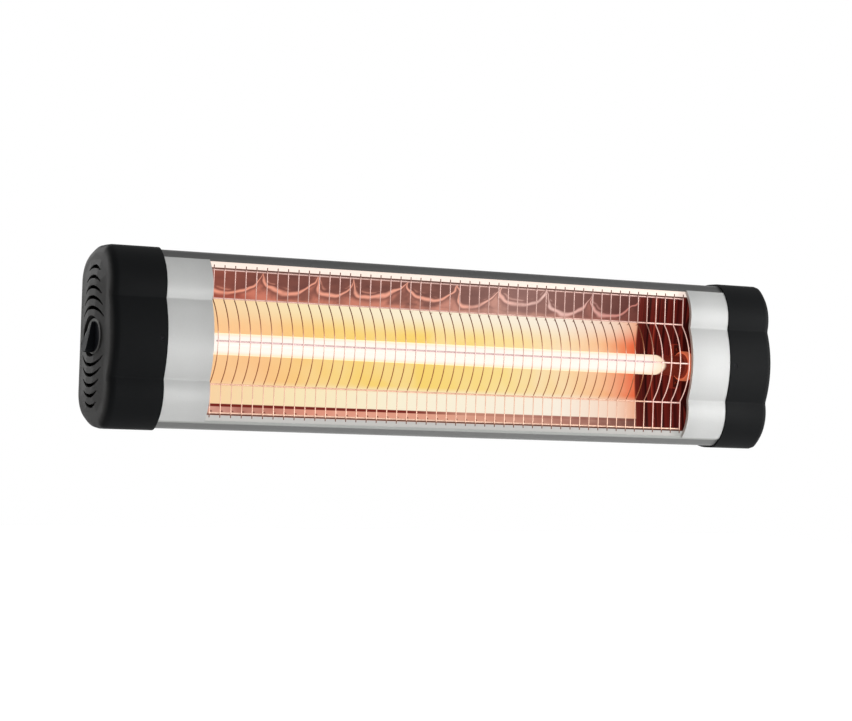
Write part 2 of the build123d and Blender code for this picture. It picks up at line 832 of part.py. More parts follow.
# Earth stud and nut on the left end plate
with BuildPart() as earth_stud:
    with BuildSketch(Plane.YZ.offset(-bulkhead_x)):
        with Locations(at(earth_depth, earth_z)):
            RegularPolygon(4, 6)
    extrude(amount=2.5)
    with BuildSketch(Plane.YZ.offset(-bulkhead_x)):
        with Locations(at(earth_depth, earth_z)):
            RegularPolygon(earth_radius, screw_sides)
    extrude(amount=-14)

with BuildPart() as earth_nut:
    with BuildSketch(Plane.YZ.offset(plate_face)):
        with Locations(at(earth_depth, earth_z)):
            RegularPolygon(4, 6)
            RegularPolygon(earth_radius + screw_play, screw_sides, mode=Mode.SUBTRACT)
    extrude(amount=-3)


def lead(points, bend):
    """Insulated wire along straight runs with each corner eased; points are (x, depth, z)."""
    route = [Vector(x, front_y + depth, z) for x, depth, z in points]
    eased = [route[0]]
    for before, corner, after in zip(route, route[1:], route[2:]):
        eased.append(corner + (before - corner).normalized() * bend)
        eased.append(corner + (after - corner).normalized() * bend)
    eased.append(route[-1])
    with BuildPart() as wire:
        with BuildLine() as path:
            Polyline(*eased)
        with BuildSketch(Plane(origin=path.line @ 0, z_dir=path.line % 0)):
            RegularPolygon(lead_radius, 6)
        sweep(path=path.line, transition=Transition.RIGHT)
    return wire.part


block_front = body_depth - housing_inset - housing_sheet - block_depth
blade_end = plate_face - 12
switch_back = switch_face + switch_length
leads = [
    # From the terminal block to the switch
    lead(
        [
            (block_x, block_front, block_z + terminal_pitch),
            (block_x, 60, block_z + terminal_pitch),
            (block_x - 18, 58, -7),
            (switch_back, 58, -7),
        ],
        6,
    ),
    # From the switch to the left end of the tube
    lead(
        [
            (switch_back, 46, 6),
            (switch_back + 16, 46, 6),
            (-ceramic_end - 14, tube_depth, tube_z),
            (-ceramic_end, tube_depth, tube_z),
        ],
        6,
    ),
    # From the right end of the tube, behind the reflector, to the thermal cut-out
    lead(
        [
            (ceramic_end, tube_depth, tube_z),
            (ceramic_end + 14, tube_depth, tube_z),
            (ceramic_end + 14, lead_depth, -30),
            (ceramic_end + 14, lead_depth, lead_z),
            (plate_face - 24, lead_depth, lead_z),
            (plate_face - 24, cutout_depth + blade_reach, cutout_z),
            (blade_end, cutout_depth + blade_reach, cutout_z),
        ],
        6,
    ),
    # From the thermal cut-out back to the terminal block
    lead(
        [
            (blade_end, cutout_depth - blade_reach, cutout_z),
            (block_x, cutout_depth - blade_reach, cutout_z),
            (block_x, 66, block_z - terminal_pitch),
            (block_x, block_front, block_z - terminal_pitch),
        ],
        5,
    ),
    # From the terminal block to the earth stud
    lead(
        [
            (block_x, block_front, block_z),
            (block_x, earth_depth, block_z),
            (plate_face - 12, earth_depth, -20),
            (plate_face - 12, earth_depth, earth_z - earth_radius),
        ],
        5,
    ),
]
with BuildPart() as wiring:
    for wire in leads:
        add(wire)


# Tilt bracket: two ears on the heater turn between washers on the wall bracket's ears
inner_washer_x = wall_ear_x + wall_sheet
heater_ear_x = inner_washer_x + washer_thickness + ear_gap
outer_washer_x = heater_ear_x + heater_ear_sheet + ear_gap
clamp_x = outer_washer_x + washer_thickness
foot_face = wall_gap + housing_inset - heater_ear_sheet


def heater_ear(side):
    """Angle bracket screwed to the housing's back, its ear rounded about the pivot."""
    with BuildPart() as ear:
        with BuildSketch(Plane.XZ.offset(housing_back)) as foot:
            with Locations((side * (heater_ear_x + ear_foot / 2), 0)):
                Rectangle(ear_foot, 2 * ear_reach_z)
            chamfer(foot.vertices(), length=corner_cut)
            with Locations((side * ear_screw_x, 0)):
                with GridLocations(0, 2 * ear_screw_z, 1, 2):
                    RegularPolygon(ear_screw_radius + screw_play, screw_sides, mode=Mode.SUBTRACT)
        extrude(amount=-heater_ear_sheet)
        with BuildSketch(Plane.YZ.offset(side * heater_ear_x)):
            with Locations((-housing_back + 0.5, 0)):
                Rectangle(1, 2 * (ear_reach_z - 4))
            with Locations((pivot_y, 0)):
                Circle(ear_round)
            make_hull()
            with Locations((pivot_y, 0)):
                Circle(pivot_radius + running_gap, mode=Mode.SUBTRACT)
        extrude(amount=side * heater_ear_sheet)
    return ear.part


left_ear_shape = heater_ear(-1)
right_ear_shape = heater_ear(1)
with BuildPart() as left_heater_ear:
    add(left_ear_shape)
with BuildPart() as right_heater_ear:
    add(right_ear_shape)

with BuildPart() as ear_screws:
    for side in (-1, 1):
        with BuildSketch(Plane.XZ.offset(foot_face)):
            with Locations((side * ear_screw_x, 0)):
                with GridLocations(0, 2 * ear_screw_z, 1, 2):
                    RegularPolygon(ear_screw_head, 6)
        extrude(amount=-ear_screw_height)
        with BuildSketch(Plane.XZ.offset(foot_face)):
            with Locations((side * ear_screw_x, 0)):
                with GridLocations(0, 2 * ear_screw_z, 1, 2):
                    RegularPolygon(ear_screw_radius, screw_sides)
        extrude(amount=ear_screw_length)

with BuildPart() as ear_nuts:
    for side in (-1, 1):
        with BuildSketch(Plane.XZ.offset(housing_back + housing_sheet)):
            with Locations((side * ear_screw_x, 0)):
                with GridLocations(0, 2 * ear_screw_z, 1, 2):
                    RegularPolygon(ear_nut, 6)
                    RegularPolygon(ear_screw_radius + screw_play, screw_sides, mode=Mode.SUBTRACT)
        extrude(amount=ear_nut_height)

with BuildPart() as wall_bracket:
    with BuildSketch(Plane.XZ) as back_plate:
        Rectangle(2 * (wall_ear_x + wall_sheet), wall_plate_height)
        chamfer(back_plate.vertices(), length=2 * corner_cut)
        with GridLocations(2 * wall_hole_x, 2 * wall_hole_z, 2, 2):
            Circle(wall_hole_radius, mode=Mode.SUBTRACT)
    extrude(amount=wall_sheet)
    for side in (-1, 1):
        with BuildSketch(Plane.YZ.offset(side * wall_ear_x)):
            with Locations((-0.5 - wall_sheet / 2, 0)):
                Rectangle(1, wall_plate_height - 16)
            with Locations((pivot_y, 0)):
                Circle(ear_round)
            make_hull()
            with Locations((pivot_y, 0)):
                Circle(pivot_radius + running_gap, mode=Mode.SUBTRACT)
        extrude(amount=side * wall_sheet)

with BuildPart() as pivot_bolts:
    for side in (-1, 1):
        with BuildSketch(Plane.YZ.offset(side * wall_ear_x)):
            with Locations((pivot_y, 0)):
                RegularPolygon(bolt_head, 6)
        extrude(amount=-side * bolt_head_height)
        with BuildSketch(Plane.YZ.offset(side * wall_ear_x)):
            with Locations((pivot_y, 0)):
                Circle(pivot_radius)
        extrude(amount=side * (clamp_x - wall_ear_x + bolt_reach))

with BuildPart() as inner_washers:
    for side in (-1, 1):
        with BuildSketch(Plane.YZ.offset(side * inner_washer_x)):
            with Locations((pivot_y, 0)):
                RegularPolygon(washer_radius, 2 * screw_sides)
                RegularPolygon(pivot_radius + running_gap, hole_sides, False, mode=Mode.SUBTRACT)
        extrude(amount=side * washer_thickness)

with BuildPart() as outer_washers:
    for side in (-1, 1):
        with BuildSketch(Plane.YZ.offset(side * outer_washer_x)):
            with Locations((pivot_y, 0)):
                RegularPolygon(washer_radius, 2 * screw_sides)
                RegularPolygon(pivot_radius + running_gap, hole_sides, False, mode=Mode.SUBTRACT)
        extrude(amount=side * washer_thickness)

with BuildPart() as clamp_knobs:
    for side in (-1, 1):
        with BuildSketch(Plane.YZ.offset(side * clamp_x)):
            with Locations((pivot_y, 0)):
                RegularPolygon(clamp_hub, hole_sides)
        extrude(amount=side * clamp_hub_height)
        with BuildSketch(Plane.YZ.offset(side * (clamp_x + clamp_hub_height))):
            with Locations((pivot_y, 0)):
                RegularPolygon(clamp_radius - lobe_inset, round_sides)
                with PolarLocations(clamp_radius - clamp_lobe, clamp_lobes):
                    RegularPolygon(clamp_lobe, hole_sides)
        extrude(amount=side * clamp_height)
        with BuildSketch(Plane.YZ.offset(side * clamp_x)):
            with Locations((pivot_y, 0)):
                RegularPolygon(pivot_radius + 0.02, hole_sides, False)
        extrude(amount=side * clamp_bore, mode=Mode.SUBTRACT)


pieces = {
    "housing": housing,
    "left_cap": left_cap,
    "right_cap": right_cap,
    "cap_screws": cap_screws,
    "left_band": left_band,
    "right_band": right_band,
    "reflector": reflector,
    "left_end_plate": left_end_plate,
    "right_end_plate": right_end_plate,
    "end_plate_screws": end_plate_screws,
    "grille_uprights": grille_uprights,
    "grille_rails": grille_rails,
    "quartz_tube": quartz_tube,
    "heating_strip": heating_strip,
    "left_ceramic": left_ceramic,
    "right_ceramic": right_ceramic,
    "left_tube_clip": left_tube_clip,
    "right_tube_clip": right_tube_clip,
    "clip_screws": clip_screws,
    "rotary_switch": rotary_switch,
    "switch_nut": switch_nut,
    "switch_shaft": switch_shaft,
    "switch_knob": switch_knob,
    "cable_gland": cable_gland,
    "gland_nut": gland_nut,
    "terminal_block": terminal_block,
    "terminal_screws": terminal_screws,
    "thermal_cutout": thermal_cutout,
    "earth_stud": earth_stud,
    "earth_nut": earth_nut,
    "wiring": wiring,
    "left_heater_ear": left_heater_ear,
    "right_heater_ear": right_heater_ear,
    "ear_screws": ear_screws,
    "ear_nuts": ear_nuts,
    "wall_bracket": wall_bracket,
    "pivot_bolts": pivot_bolts,
    "inner_washers": inner_washers,
    "outer_washers": outer_washers,
    "clamp_knobs": clamp_knobs,
}
for label, piece in pieces.items():
    piece.part.label = label
    export_step(piece.part, f"parts/{label}.step")
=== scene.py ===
import math

import bpy
from mathutils import Matrix, Vector


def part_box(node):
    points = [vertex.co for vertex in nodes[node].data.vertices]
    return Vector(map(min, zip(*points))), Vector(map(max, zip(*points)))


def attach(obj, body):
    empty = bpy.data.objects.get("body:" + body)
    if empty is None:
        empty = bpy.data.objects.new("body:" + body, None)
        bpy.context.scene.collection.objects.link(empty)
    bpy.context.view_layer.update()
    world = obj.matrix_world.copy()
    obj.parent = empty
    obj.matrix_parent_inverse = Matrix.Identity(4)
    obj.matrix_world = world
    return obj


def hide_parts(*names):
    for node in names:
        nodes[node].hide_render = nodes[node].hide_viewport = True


bl_info = {
    "name": "Wall-mounted infrared heater",
    "version": (1, 0, 0),
    "blender": (4, 5, 0),
    "location": "3D View > Sidebar > Heater",
    "description": "Finishes, small fittings and studio for a wall-mounted infrared heater",
    "category": "Object",
}

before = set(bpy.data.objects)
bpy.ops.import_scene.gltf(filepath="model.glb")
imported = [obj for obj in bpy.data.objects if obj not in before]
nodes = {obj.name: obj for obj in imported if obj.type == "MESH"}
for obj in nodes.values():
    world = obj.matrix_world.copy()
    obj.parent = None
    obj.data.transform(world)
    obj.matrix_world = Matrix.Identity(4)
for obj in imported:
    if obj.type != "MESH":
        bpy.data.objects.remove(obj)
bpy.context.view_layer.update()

MM = 0.001
FRONT = -158 * MM
TUBE_Y, TUBE_Z = -118 * MM, -2 * MM
PITCH = 12.4 * MM
BODY_OF = {"switch_knob": "knob", "clamp_knobs": "wall_mount"}


# Plain helpers for shader trees


def srgb(red, green, blue):
    """Linear colour from display values of 0 to 255."""
    values = []
    for value in (red, green, blue):
        share = value / 255
        values.append(share / 12.92 if share <= 0.04045 else ((share + 0.055) / 1.055) ** 2.4)
    return (*values, 1.0)


def add_node(tree, kind, **settings):
    node = tree.nodes.new(kind)
    for name, value in settings.items():
        setattr(node, name, value)
    return node


def plug(tree, value, socket):
    """Links an output to a socket, or writes a plain value there."""
    if isinstance(value, bpy.types.NodeSocket):
        tree.links.new(value, socket)
    else:
        socket.default_value = value


def calc(tree, operation, *values):
    node = add_node(tree, "ShaderNodeMath", operation=operation)
    for index, value in enumerate(values):
        plug(tree, value, node.inputs[index])
    return node.outputs[0]


def span(tree, value, low, high, start=0.0, end=1.0, smooth=True):
    """Maps low..high to start..end, clamped, with soft ends."""
    node = add_node(
        tree, "ShaderNodeMapRange", interpolation_type="SMOOTHSTEP" if smooth else "LINEAR"
    )
    for index, item in enumerate((value, low, high, start, end)):
        plug(tree, item, node.inputs[index])
    return node.outputs[0]


def blend(tree, factor, first, second, mode="MIX"):
    node = add_node(tree, "ShaderNodeMix", data_type="RGBA", blend_type=mode)
    plug(tree, factor, node.inputs[0])
    plug(tree, first, node.inputs[6])
    plug(tree, second, node.inputs[7])
    return node.outputs[2]


def ramp(tree, factor, stops):
    node = add_node(tree, "ShaderNodeValToRGB")
    plug(tree, factor, node.inputs[0])
    row = node.color_ramp.elements
    while len(row) < len(stops):
        row.new(0.5)
    for element, (place, colour) in zip(row, stops):
        element.position = place
        element.color = colour
    return node.outputs[0]


def noise(tree, where, scale, detail=3.0, stretch=None):
    if stretch:
        mapping = add_node(tree, "ShaderNodeMapping")
        plug(tree, where, mapping.inputs[0])
        mapping.inputs[3].default_value = stretch
        where = mapping.outputs[0]
    node = add_node(tree, "ShaderNodeTexNoise")
    plug(tree, where, node.inputs["Vector"])
    node.inputs["Scale"].default_value = scale
    node.inputs["Detail"].default_value = detail
    return node.outputs["Fac"]


def object_space(tree):
    """Object coordinates as a vector, and their three parts."""
    where = add_node(tree, "ShaderNodeTexCoord").outputs["Object"]
    parts = add_node(tree, "ShaderNodeSeparateXYZ")
    plug(tree, where, parts.inputs[0])
    return where, parts.outputs[0], parts.outputs[1], parts.outputs[2]


def bump(tree, height, strength, distance, shader):
    node = add_node(tree, "ShaderNodeBump")
    node.inputs["Strength"].default_value = strength
    node.inputs["Distance"].default_value = distance
    plug(tree, height, node.inputs["Height"])
    plug(tree, node.outputs[0], shader.inputs["Normal"])


def finish(name, **sockets):
    """New material with a Principled shader and the given plain socket values."""
    material = bpy.data.materials.new(name)
    material.use_nodes = True
    shader = material.node_tree.nodes["Principled BSDF"]
    for socket, value in sockets.items():
        shader.inputs[socket.replace("_", " ")].default_value = value
    return material, material.node_tree, shader


def dress(material, *names):
    """Gives CAD nodes a new material in every slot."""
    for name in names:
        node = nodes[name]
        for slot in node.material_slots:
            slot.material = material
        if not node.material_slots:
            node.data.materials.append(material)


def distance(tree, first, second):
    """Length of the step with these two parts."""
    squares = [calc(tree, "MULTIPLY", part, part) for part in (first, second)]
    return calc(tree, "SQRT", calc(tree, "ADD", *squares))


def mask(tree, value, low, high, soft):
    """1 between low and high, with soft edges."""
    rise = span(tree, value, low - soft, low + soft)
    fall = span(tree, value, high + soft, high - soft)
    return calc(tree, "MULTIPLY", rise, fall)


def across(tree, value, low, high, *colours):
    """Colours spread over low..high of a value, given as (place, red, green, blue)."""
    share = span(tree, value, low, high, smooth=False)
    stops = [((place - low) / (high - low), srgb(*colour)) for place, *colour in colours]
    return ramp(tree, share, stops)


# Plain helpers for modelling


def only(*pieces):
    """Selects these objects alone, the first one active."""
    bpy.ops.object.select_all(action="DESELECT")
    for piece in pieces:
        piece.select_set(True)
    bpy.context.view_layer.objects.active = pieces[0]


def shape(piece, kind, **settings):
    """Adds a modifier with these settings and applies it."""
    only(piece)
    modifier = piece.modifiers.new("step", kind)
    for name, value in settings.items():
        setattr(modifier, name, value)
    bpy.ops.object.modifier_apply(modifier=modifier.name)


def settle(piece, smooth=35):
    """Puts a piece's place into its mesh and shades it smooth across small turns."""
    only(piece)
    bpy.ops.object.transform_apply(location=True, rotation=True, scale=True)
    bpy.ops.object.shade_smooth_by_angle(angle=math.radians(smooth))
    return piece


def join(name, pieces):
    only(*pieces)
    bpy.ops.object.join()
    pieces[0].name = name
    return pieces[0]


def fit(piece, node, material):
    """Sets a finished piece on its node's body, in place of that node."""
    piece.data.materials.clear()
    piece.data.materials.append(material)
    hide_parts(node)
    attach(piece, BODY_OF.get(node, "heater"))


def smooth_copy(node, material):
    """Stands a merged copy of a node in its place, shaded smooth across its chords."""
    piece = bpy.data.objects.new(f"{node}_shell", nodes[node].data.copy())
    bpy.context.scene.collection.objects.link(piece)
    only(piece)
    bpy.ops.mesh.customdata_custom_splitnormals_clear()
    bpy.ops.object.mode_set(mode="EDIT")
    bpy.ops.mesh.select_all(action="SELECT")
    bpy.ops.mesh.remove_doubles(threshold=0.01 * MM)
    bpy.ops.object.mode_set(mode="OBJECT")
    settle(piece, smooth=38)
    shape(piece, "WEIGHTED_NORMAL", keep_sharp=True)
    fit(piece, node, material)


def round_wire(name, line, radius, sides=8):
    """Round wire along a line of points."""
    curve = bpy.data.curves.new(name, "CURVE")
    curve.dimensions = "3D"
    curve.bevel_depth = radius
    curve.bevel_resolution = (sides - 4) // 2
    curve.use_fill_caps = True
    path = curve.splines.new("POLY")
    path.points.add(len(line) - 1)
    for spot, place in zip(path.points, line):
        spot.co = (*place, 1)
    wire = bpy.data.objects.new(name, curve)
    bpy.context.scene.collection.objects.link(wire)
    only(wire)
    bpy.ops.object.convert(target="MESH")
    return settle(bpy.context.object, 60)


def cross_screw(head, height, shank, length):
    """Pan-head screw with a cross recess; its head stands towards -Y on the origin."""
    bpy.ops.mesh.primitive_cylinder_add(
        vertices=24, radius=head, depth=height,
        location=(0, -height / 2, 0), rotation=(math.pi / 2, 0, 0),
    )
    screw = settle(bpy.context.object)
    shape(screw, "BEVEL", width=0.35 * height, segments=2, limit_method="ANGLE")
    for turn in (math.radians(40), math.radians(130)):
        bpy.ops.mesh.primitive_cube_add(size=1, location=(0, -height, 0), rotation=(0, turn, 0))
        cutter = bpy.context.object
        cutter.scale = (1.2 * head, 1.1 * height, 0.3 * head)
        settle(cutter)
        shape(screw, "BOOLEAN", object=cutter, operation="DIFFERENCE", solver="EXACT")
        bpy.data.objects.remove(cutter)
    bpy.ops.mesh.primitive_cylinder_add(
        vertices=16, radius=shank, depth=length,
        location=(0, length / 2, 0), rotation=(math.pi / 2, 0, 0),
    )
    return join("screw", [screw, settle(bpy.context.object)])


def set_screws(node, material, screw, places, turned=False):
    """Copies of one screw at these places, as one piece in place of a node."""
    copies = []
    for place in places:
        copy = bpy.data.objects.new(node, screw.data.copy())
        bpy.context.scene.collection.objects.link(copy)
        copy.location = place
        copy.rotation_euler = (0, 0, math.pi if turned else 0)
        copies.append(settle(copy))
    bpy.data.objects.remove(screw)
    fit(join(f"{node}_cross_slot", copies), node, material)


def grain_group():
    """Fine moulded or sprayed texture: a height, and a slow drift for roughness."""
    group = bpy.data.node_groups.new("surface grain", "ShaderNodeTree")
    group.interface.new_socket("Vector", in_out="INPUT", socket_type="NodeSocketVector")
    group.interface.new_socket("Scale", in_out="INPUT", socket_type="NodeSocketFloat")
    group.interface.new_socket("Rough Low", in_out="INPUT", socket_type="NodeSocketFloat")
    group.interface.new_socket("Rough High", in_out="INPUT", socket_type="NodeSocketFloat")
    group.interface.new_socket("Height", in_out="OUTPUT", socket_type="NodeSocketFloat")
    group.interface.new_socket("Roughness", in_out="OUTPUT", socket_type="NodeSocketFloat")
    start = group.nodes.new("NodeGroupInput")
    end = group.nodes.new("NodeGroupOutput")
    fine = add_node(group, "ShaderNodeTexNoise")
    plug(group, start.outputs["Vector"], fine.inputs["Vector"])
    plug(group, start.outputs["Scale"], fine.inputs["Scale"])
    fine.inputs["Detail"].default_value = 2.0
    drift = noise(group, start.outputs["Vector"], 9.0, 2.0)
    rough = span(
        group, drift, 0.3, 0.7, start.outputs["Rough Low"], start.outputs["Rough High"]
    )
    plug(group, fine.outputs["Fac"], end.inputs["Height"])
    plug(group, rough, end.inputs["Roughness"])
    return group


def use_grain(tree, shader, where, scale, low, high, strength):
    """Puts the grain on a shader's roughness and bump, and gives back its height."""
    group = bpy.data.node_groups.get("surface grain") or grain_group()
    node = add_node(tree, "ShaderNodeGroup", node_tree=group)
    plug(tree, where, node.inputs["Vector"])
    node.inputs["Scale"].default_value = scale
    node.inputs["Rough Low"].default_value = low
    node.inputs["Rough High"].default_value = high
    plug(tree, node.outputs["Roughness"], shader.inputs["Roughness"])
    bump(tree, node.outputs["Height"], strength, 0.2 * MM, shader)
    return node.outputs["Height"]


def mottled(name, low, high, rough_low, rough_high, clouds, metal):
    """Material of two close tones that drift into each other, over a fine grain."""
    material, tree, shader = finish(name, Metallic=metal)
    where = object_space(tree)[0]
    use_grain(tree, shader, where, 1100, rough_low, rough_high, 0.1)
    tone = blend(tree, noise(tree, where, clouds, 3.0), srgb(*low), srgb(*high))
    plug(tree, tone, shader.inputs["Base Color"])
    return material


class HeaterFinishes(bpy.types.PropertyGroup):
    """Colours of the outside"""

    cap: bpy.props.FloatVectorProperty(
        name="End caps", description="Moulded plastic of the caps and the knob",
        default=(0.005, 0.0055, 0.006), subtype="COLOR", min=0, max=1,
    )
    # Painted sheen: the cap ends get this lighter colour, over their coarser grain
    cap_end_grain_and_sheen: bpy.props.FloatVectorProperty(
        name="Cap ends", description="Coarser grained plastic with a painted lighter sheen on the ends of the caps",
        default=(0.044, 0.043, 0.042), subtype="COLOR", min=0, max=1,
    )
    band: bpy.props.FloatVectorProperty(
        name="Bands", description="Silver covers beside the window",
        default=(0.64, 0.645, 0.635), subtype="COLOR", min=0, max=1,
    )
    housing: bpy.props.FloatVectorProperty(
        name="Housing", description="Paint of the long housing",
        default=(0.2, 0.202, 0.198), subtype="COLOR", min=0, max=1,
    )


class HeaterGlow(bpy.types.PropertyGroup):
    """Heat of the tube, and the painted glow of the trough behind it"""

    tube: bpy.props.FloatProperty(
        name="Tube", description="Brightness of the glowing stretch of the tube", default=1.0, min=0
    )
    trough: bpy.props.FloatProperty(
        name="Trough", description="Brightness of the lit trough", default=0.9, min=0
    )
    switch_end: bpy.props.FloatProperty(
        name="Switch end", description="Where the tube's glow ends towards the switch",
        default=-303 * MM, max=-0.1, unit="LENGTH",
    )
    far_end: bpy.props.FloatProperty(
        name="Far end", description="Where the tube's glow ends on the other side",
        default=283 * MM, min=0.1, unit="LENGTH",
    )


class HeaterGuard(bpy.types.PropertyGroup):
    """Round wire of the guard"""

    upright: bpy.props.FloatProperty(
        name="Upright", description="Radius of the bent uprights", default=0.56 * MM,
        min=0.2 * MM, max=0.75 * MM, unit="LENGTH",
    )
    rail: bpy.props.FloatProperty(
        name="Rail", description="Radius of the long rails", default=0.9 * MM,
        min=0.2 * MM, max=1 * MM, unit="LENGTH",
    )


class HEATER_OT_caps(bpy.types.Operator):
    """Satin black plastic on the caps, with a coarser grain and a painted lighter sheen on their ends"""

    bl_idname = "heater.caps"
    bl_label = "End caps"

    def execute(self, context):
        finishes = context.scene.heater_finishes
        material, tree, shader = finish("satin black plastic", Specular_IOR_Level=0.06)
        where, x, _, _ = object_space(tree)
        height = use_grain(tree, shader, where, 1400, 0.5, 0.6, 0.12)
        # Painted sheen: the cap ends are lighter, speckled by the grain; on the right cap it is weaker, as
        # painted shade
        end = span(tree, calc(tree, "ABSOLUTE", x), 412.5 * MM, 416.3 * MM)
        speck = span(tree, height, 0.3, 0.7, 0.8, 1.0)
        end = calc(tree, "MULTIPLY", end, speck)
        end = calc(tree, "MULTIPLY", end, span(tree, x, -0.1, 0.1, 1.0, 0.3))
        colour = blend(tree, end, (*finishes.cap, 1), (*finishes.cap_end_grain_and_sheen, 1))
        plug(tree, colour, shader.inputs["Base Color"])
        for name in ("left_cap", "right_cap"):
            smooth_copy(name, material)
        smooth_copy("cable_gland", material)
        dress(material, "gland_nut")
        return {"FINISHED"}


class HEATER_OT_knob(bpy.types.Operator):
    """Pointer knob: a disc with a drop-shaped grip that is high at its round end"""

    bl_idname = "heater.knob"
    bl_label = "Switch knob"

    def execute(self, context):
        low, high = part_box("switch_knob")
        disc, sink = 5.5 * MM, 9.5 * MM
        middle = (low[1] + high[1]) / 2
        bpy.ops.mesh.primitive_cylinder_add(
            vertices=72, radius=19.2 * MM, depth=disc,
            location=(high[0] - disc / 2, middle, 0), rotation=(0, math.pi / 2, 0),
        )
        plate = settle(bpy.context.object)
        shape(plate, "BEVEL", width=1.2 * MM, segments=3, limit_method="ANGLE")

        # The grip is drawn upright round the X axis, then leans towards the front
        round_end, reach, lean = 7.6 * MM, 25 * MM, math.radians(15)
        bottom = high[0] - disc + 0.5 * MM
        height = bottom - low[0]
        bpy.ops.mesh.primitive_cylinder_add(
            vertices=48, radius=round_end, depth=height,
            location=(bottom - height / 2, 0, 0), rotation=(0, math.pi / 2, 0),
        )
        grip = settle(bpy.context.object)
        for vertex in grip.data.vertices:
            share = max(0.0, vertex.co.z / round_end)
            vertex.co.y *= 1 - 0.72 * share
            if vertex.co.x < bottom - height / 2:
                vertex.co.x += 0.55 * height * share
            vertex.co.z += share * (reach - round_end) - sink
        shape(grip, "BEVEL", width=0.8 * MM, segments=3, limit_method="ANGLE")
        turn = Matrix.Rotation(lean, 4, "X")
        grip.data.transform(Matrix.Translation((0, middle, 0)) @ turn)
        knob = settle(join("pointer_knob", [plate, grip]))

        material, tree, shader = finish("knob plastic", Specular_IOR_Level=0.08)
        where, x, y, z = object_space(tree)
        use_grain(tree, shader, where, 1800, 0.52, 0.62, 0.06)
        side = calc(tree, "SUBTRACT", y, middle)
        radius = distance(tree, side, z)
        # Painted highlight: a pale ring near the rim of the disc's face
        rim = mask(tree, radius, 16.2 * MM, 18.6 * MM, 0.3 * MM)
        rim = calc(tree, "MULTIPLY", rim, span(tree, x, high[0] - disc - 1 * MM, high[0] - disc))
        sine, cosine = math.sin(lean), math.cos(lean)
        along = calc(tree, "MULTIPLY_ADD", z, cosine, calc(tree, "MULTIPLY", side, -sine))
        offset = calc(tree, "MULTIPLY_ADD", side, cosine, calc(tree, "MULTIPLY", z, sine))
        # Painted highlight: a pale line just inside the back edge of the grip
        edge = span(tree, along, -sink, reach - sink, 6.8 * MM, 1.7 * MM, smooth=False)
        line = mask(tree, calc(tree, "SUBTRACT", offset, edge), -1.7 * MM, -0.6 * MM, 0.25 * MM)
        line = calc(tree, "MULTIPLY", line, span(tree, along, -1.5 * MM, 1 * MM))
        raised = span(tree, x, high[0] - disc - 1 * MM, high[0] - disc - 2 * MM)
        line = calc(tree, "MULTIPLY", line, raised)
        light = calc(tree, "MAXIMUM", rim, line)
        dark = blend(tree, noise(tree, where, 300, 3.0), srgb(12, 13, 16), srgb(22, 24, 28))
        plug(tree, blend(tree, light, dark, srgb(106, 106, 104)), shader.inputs["Base Color"])
        fit(knob, "switch_knob", material)
        return {"FINISHED"}


class HEATER_OT_bands(bpy.types.Operator):
    """Silver paint on the two bands beside the window"""

    bl_idname = "heater.bands"
    bl_label = "Silver bands"

    def execute(self, context):
        colour = (*context.scene.heater_finishes.band, 1)
        material, tree, shader = finish("silver paint", Metallic=0.1, Specular_IOR_Level=0.3)
        where, x, _, z = object_space(tree)
        height = use_grain(tree, shader, where, 2200, 0.36, 0.46, 0.05)
        flake = span(tree, height, 0.35, 0.65, 0.96, 1.03)
        # Painted shade: the paint is a little darker beside the creases and towards the window
        crease_shade = calc(tree, "SUBTRACT", calc(tree, "ABSOLUTE", z), 42 * MM)
        crease_shade = span(tree, calc(tree, "ABSOLUTE", crease_shade), 0.0, 12 * MM, 0.93, 1.0)
        inner = span(tree, calc(tree, "ABSOLUTE", x), 302 * MM, 330 * MM, 0.93, 1.0)
        tone = calc(tree, "MULTIPLY", flake, calc(tree, "MULTIPLY", crease_shade, inner))
        grey = add_node(tree, "ShaderNodeCombineXYZ")
        for index in range(3):
            plug(tree, tone, grey.inputs[index])
        plug(tree, blend(tree, 1.0, colour, grey.outputs[0], "MULTIPLY"), shader.inputs["Base Color"])
        dress(material, "left_band", "right_band")
        return {"FINISHED"}


class HEATER_OT_housing(bpy.types.Operator):
    """Grey paint on the long housing, with painted light on its lower lip and painted shade at the edge of
    its upper lip
    """

    bl_idname = "heater.housing"
    bl_label = "Housing"

    def execute(self, context):
        colour = (*context.scene.heater_finishes.housing, 1)
        material, tree, shader = finish("grey paint", Metallic=0.1, Specular_IOR_Level=0.2)
        where, _, y, z = object_space(tree)
        use_grain(tree, shader, where, 1600, 0.38, 0.48, 0.08)
        front = span(tree, y, -118 * MM, -130 * MM)
        # Painted light: the front of the lower lip is paler, lit by the tube's glow
        lip = calc(tree, "MULTIPLY", mask(tree, z, -86.4 * MM, -60 * MM, 0.5 * MM), front)
        drift = span(tree, noise(tree, where, 6, 2.0), 0.3, 0.7, 0.9, 1.0)
        lip = calc(tree, "MULTIPLY", lip, drift)
        # The upper lip darkens towards its edge, where it turns away from the light
        shade = calc(tree, "MULTIPLY", span(tree, z, 80 * MM, 91 * MM, 0.35, 1.0), front)
        shade = calc(tree, "MULTIPLY", shade, span(tree, z, 79 * MM, 80 * MM))
        paint = blend(tree, shade, colour, (0.085, 0.086, 0.085, 1))
        plug(tree, blend(tree, lip, paint, srgb(188, 190, 186)), shader.inputs["Base Color"])
        dress(material, "housing")
        return {"FINISHED"}


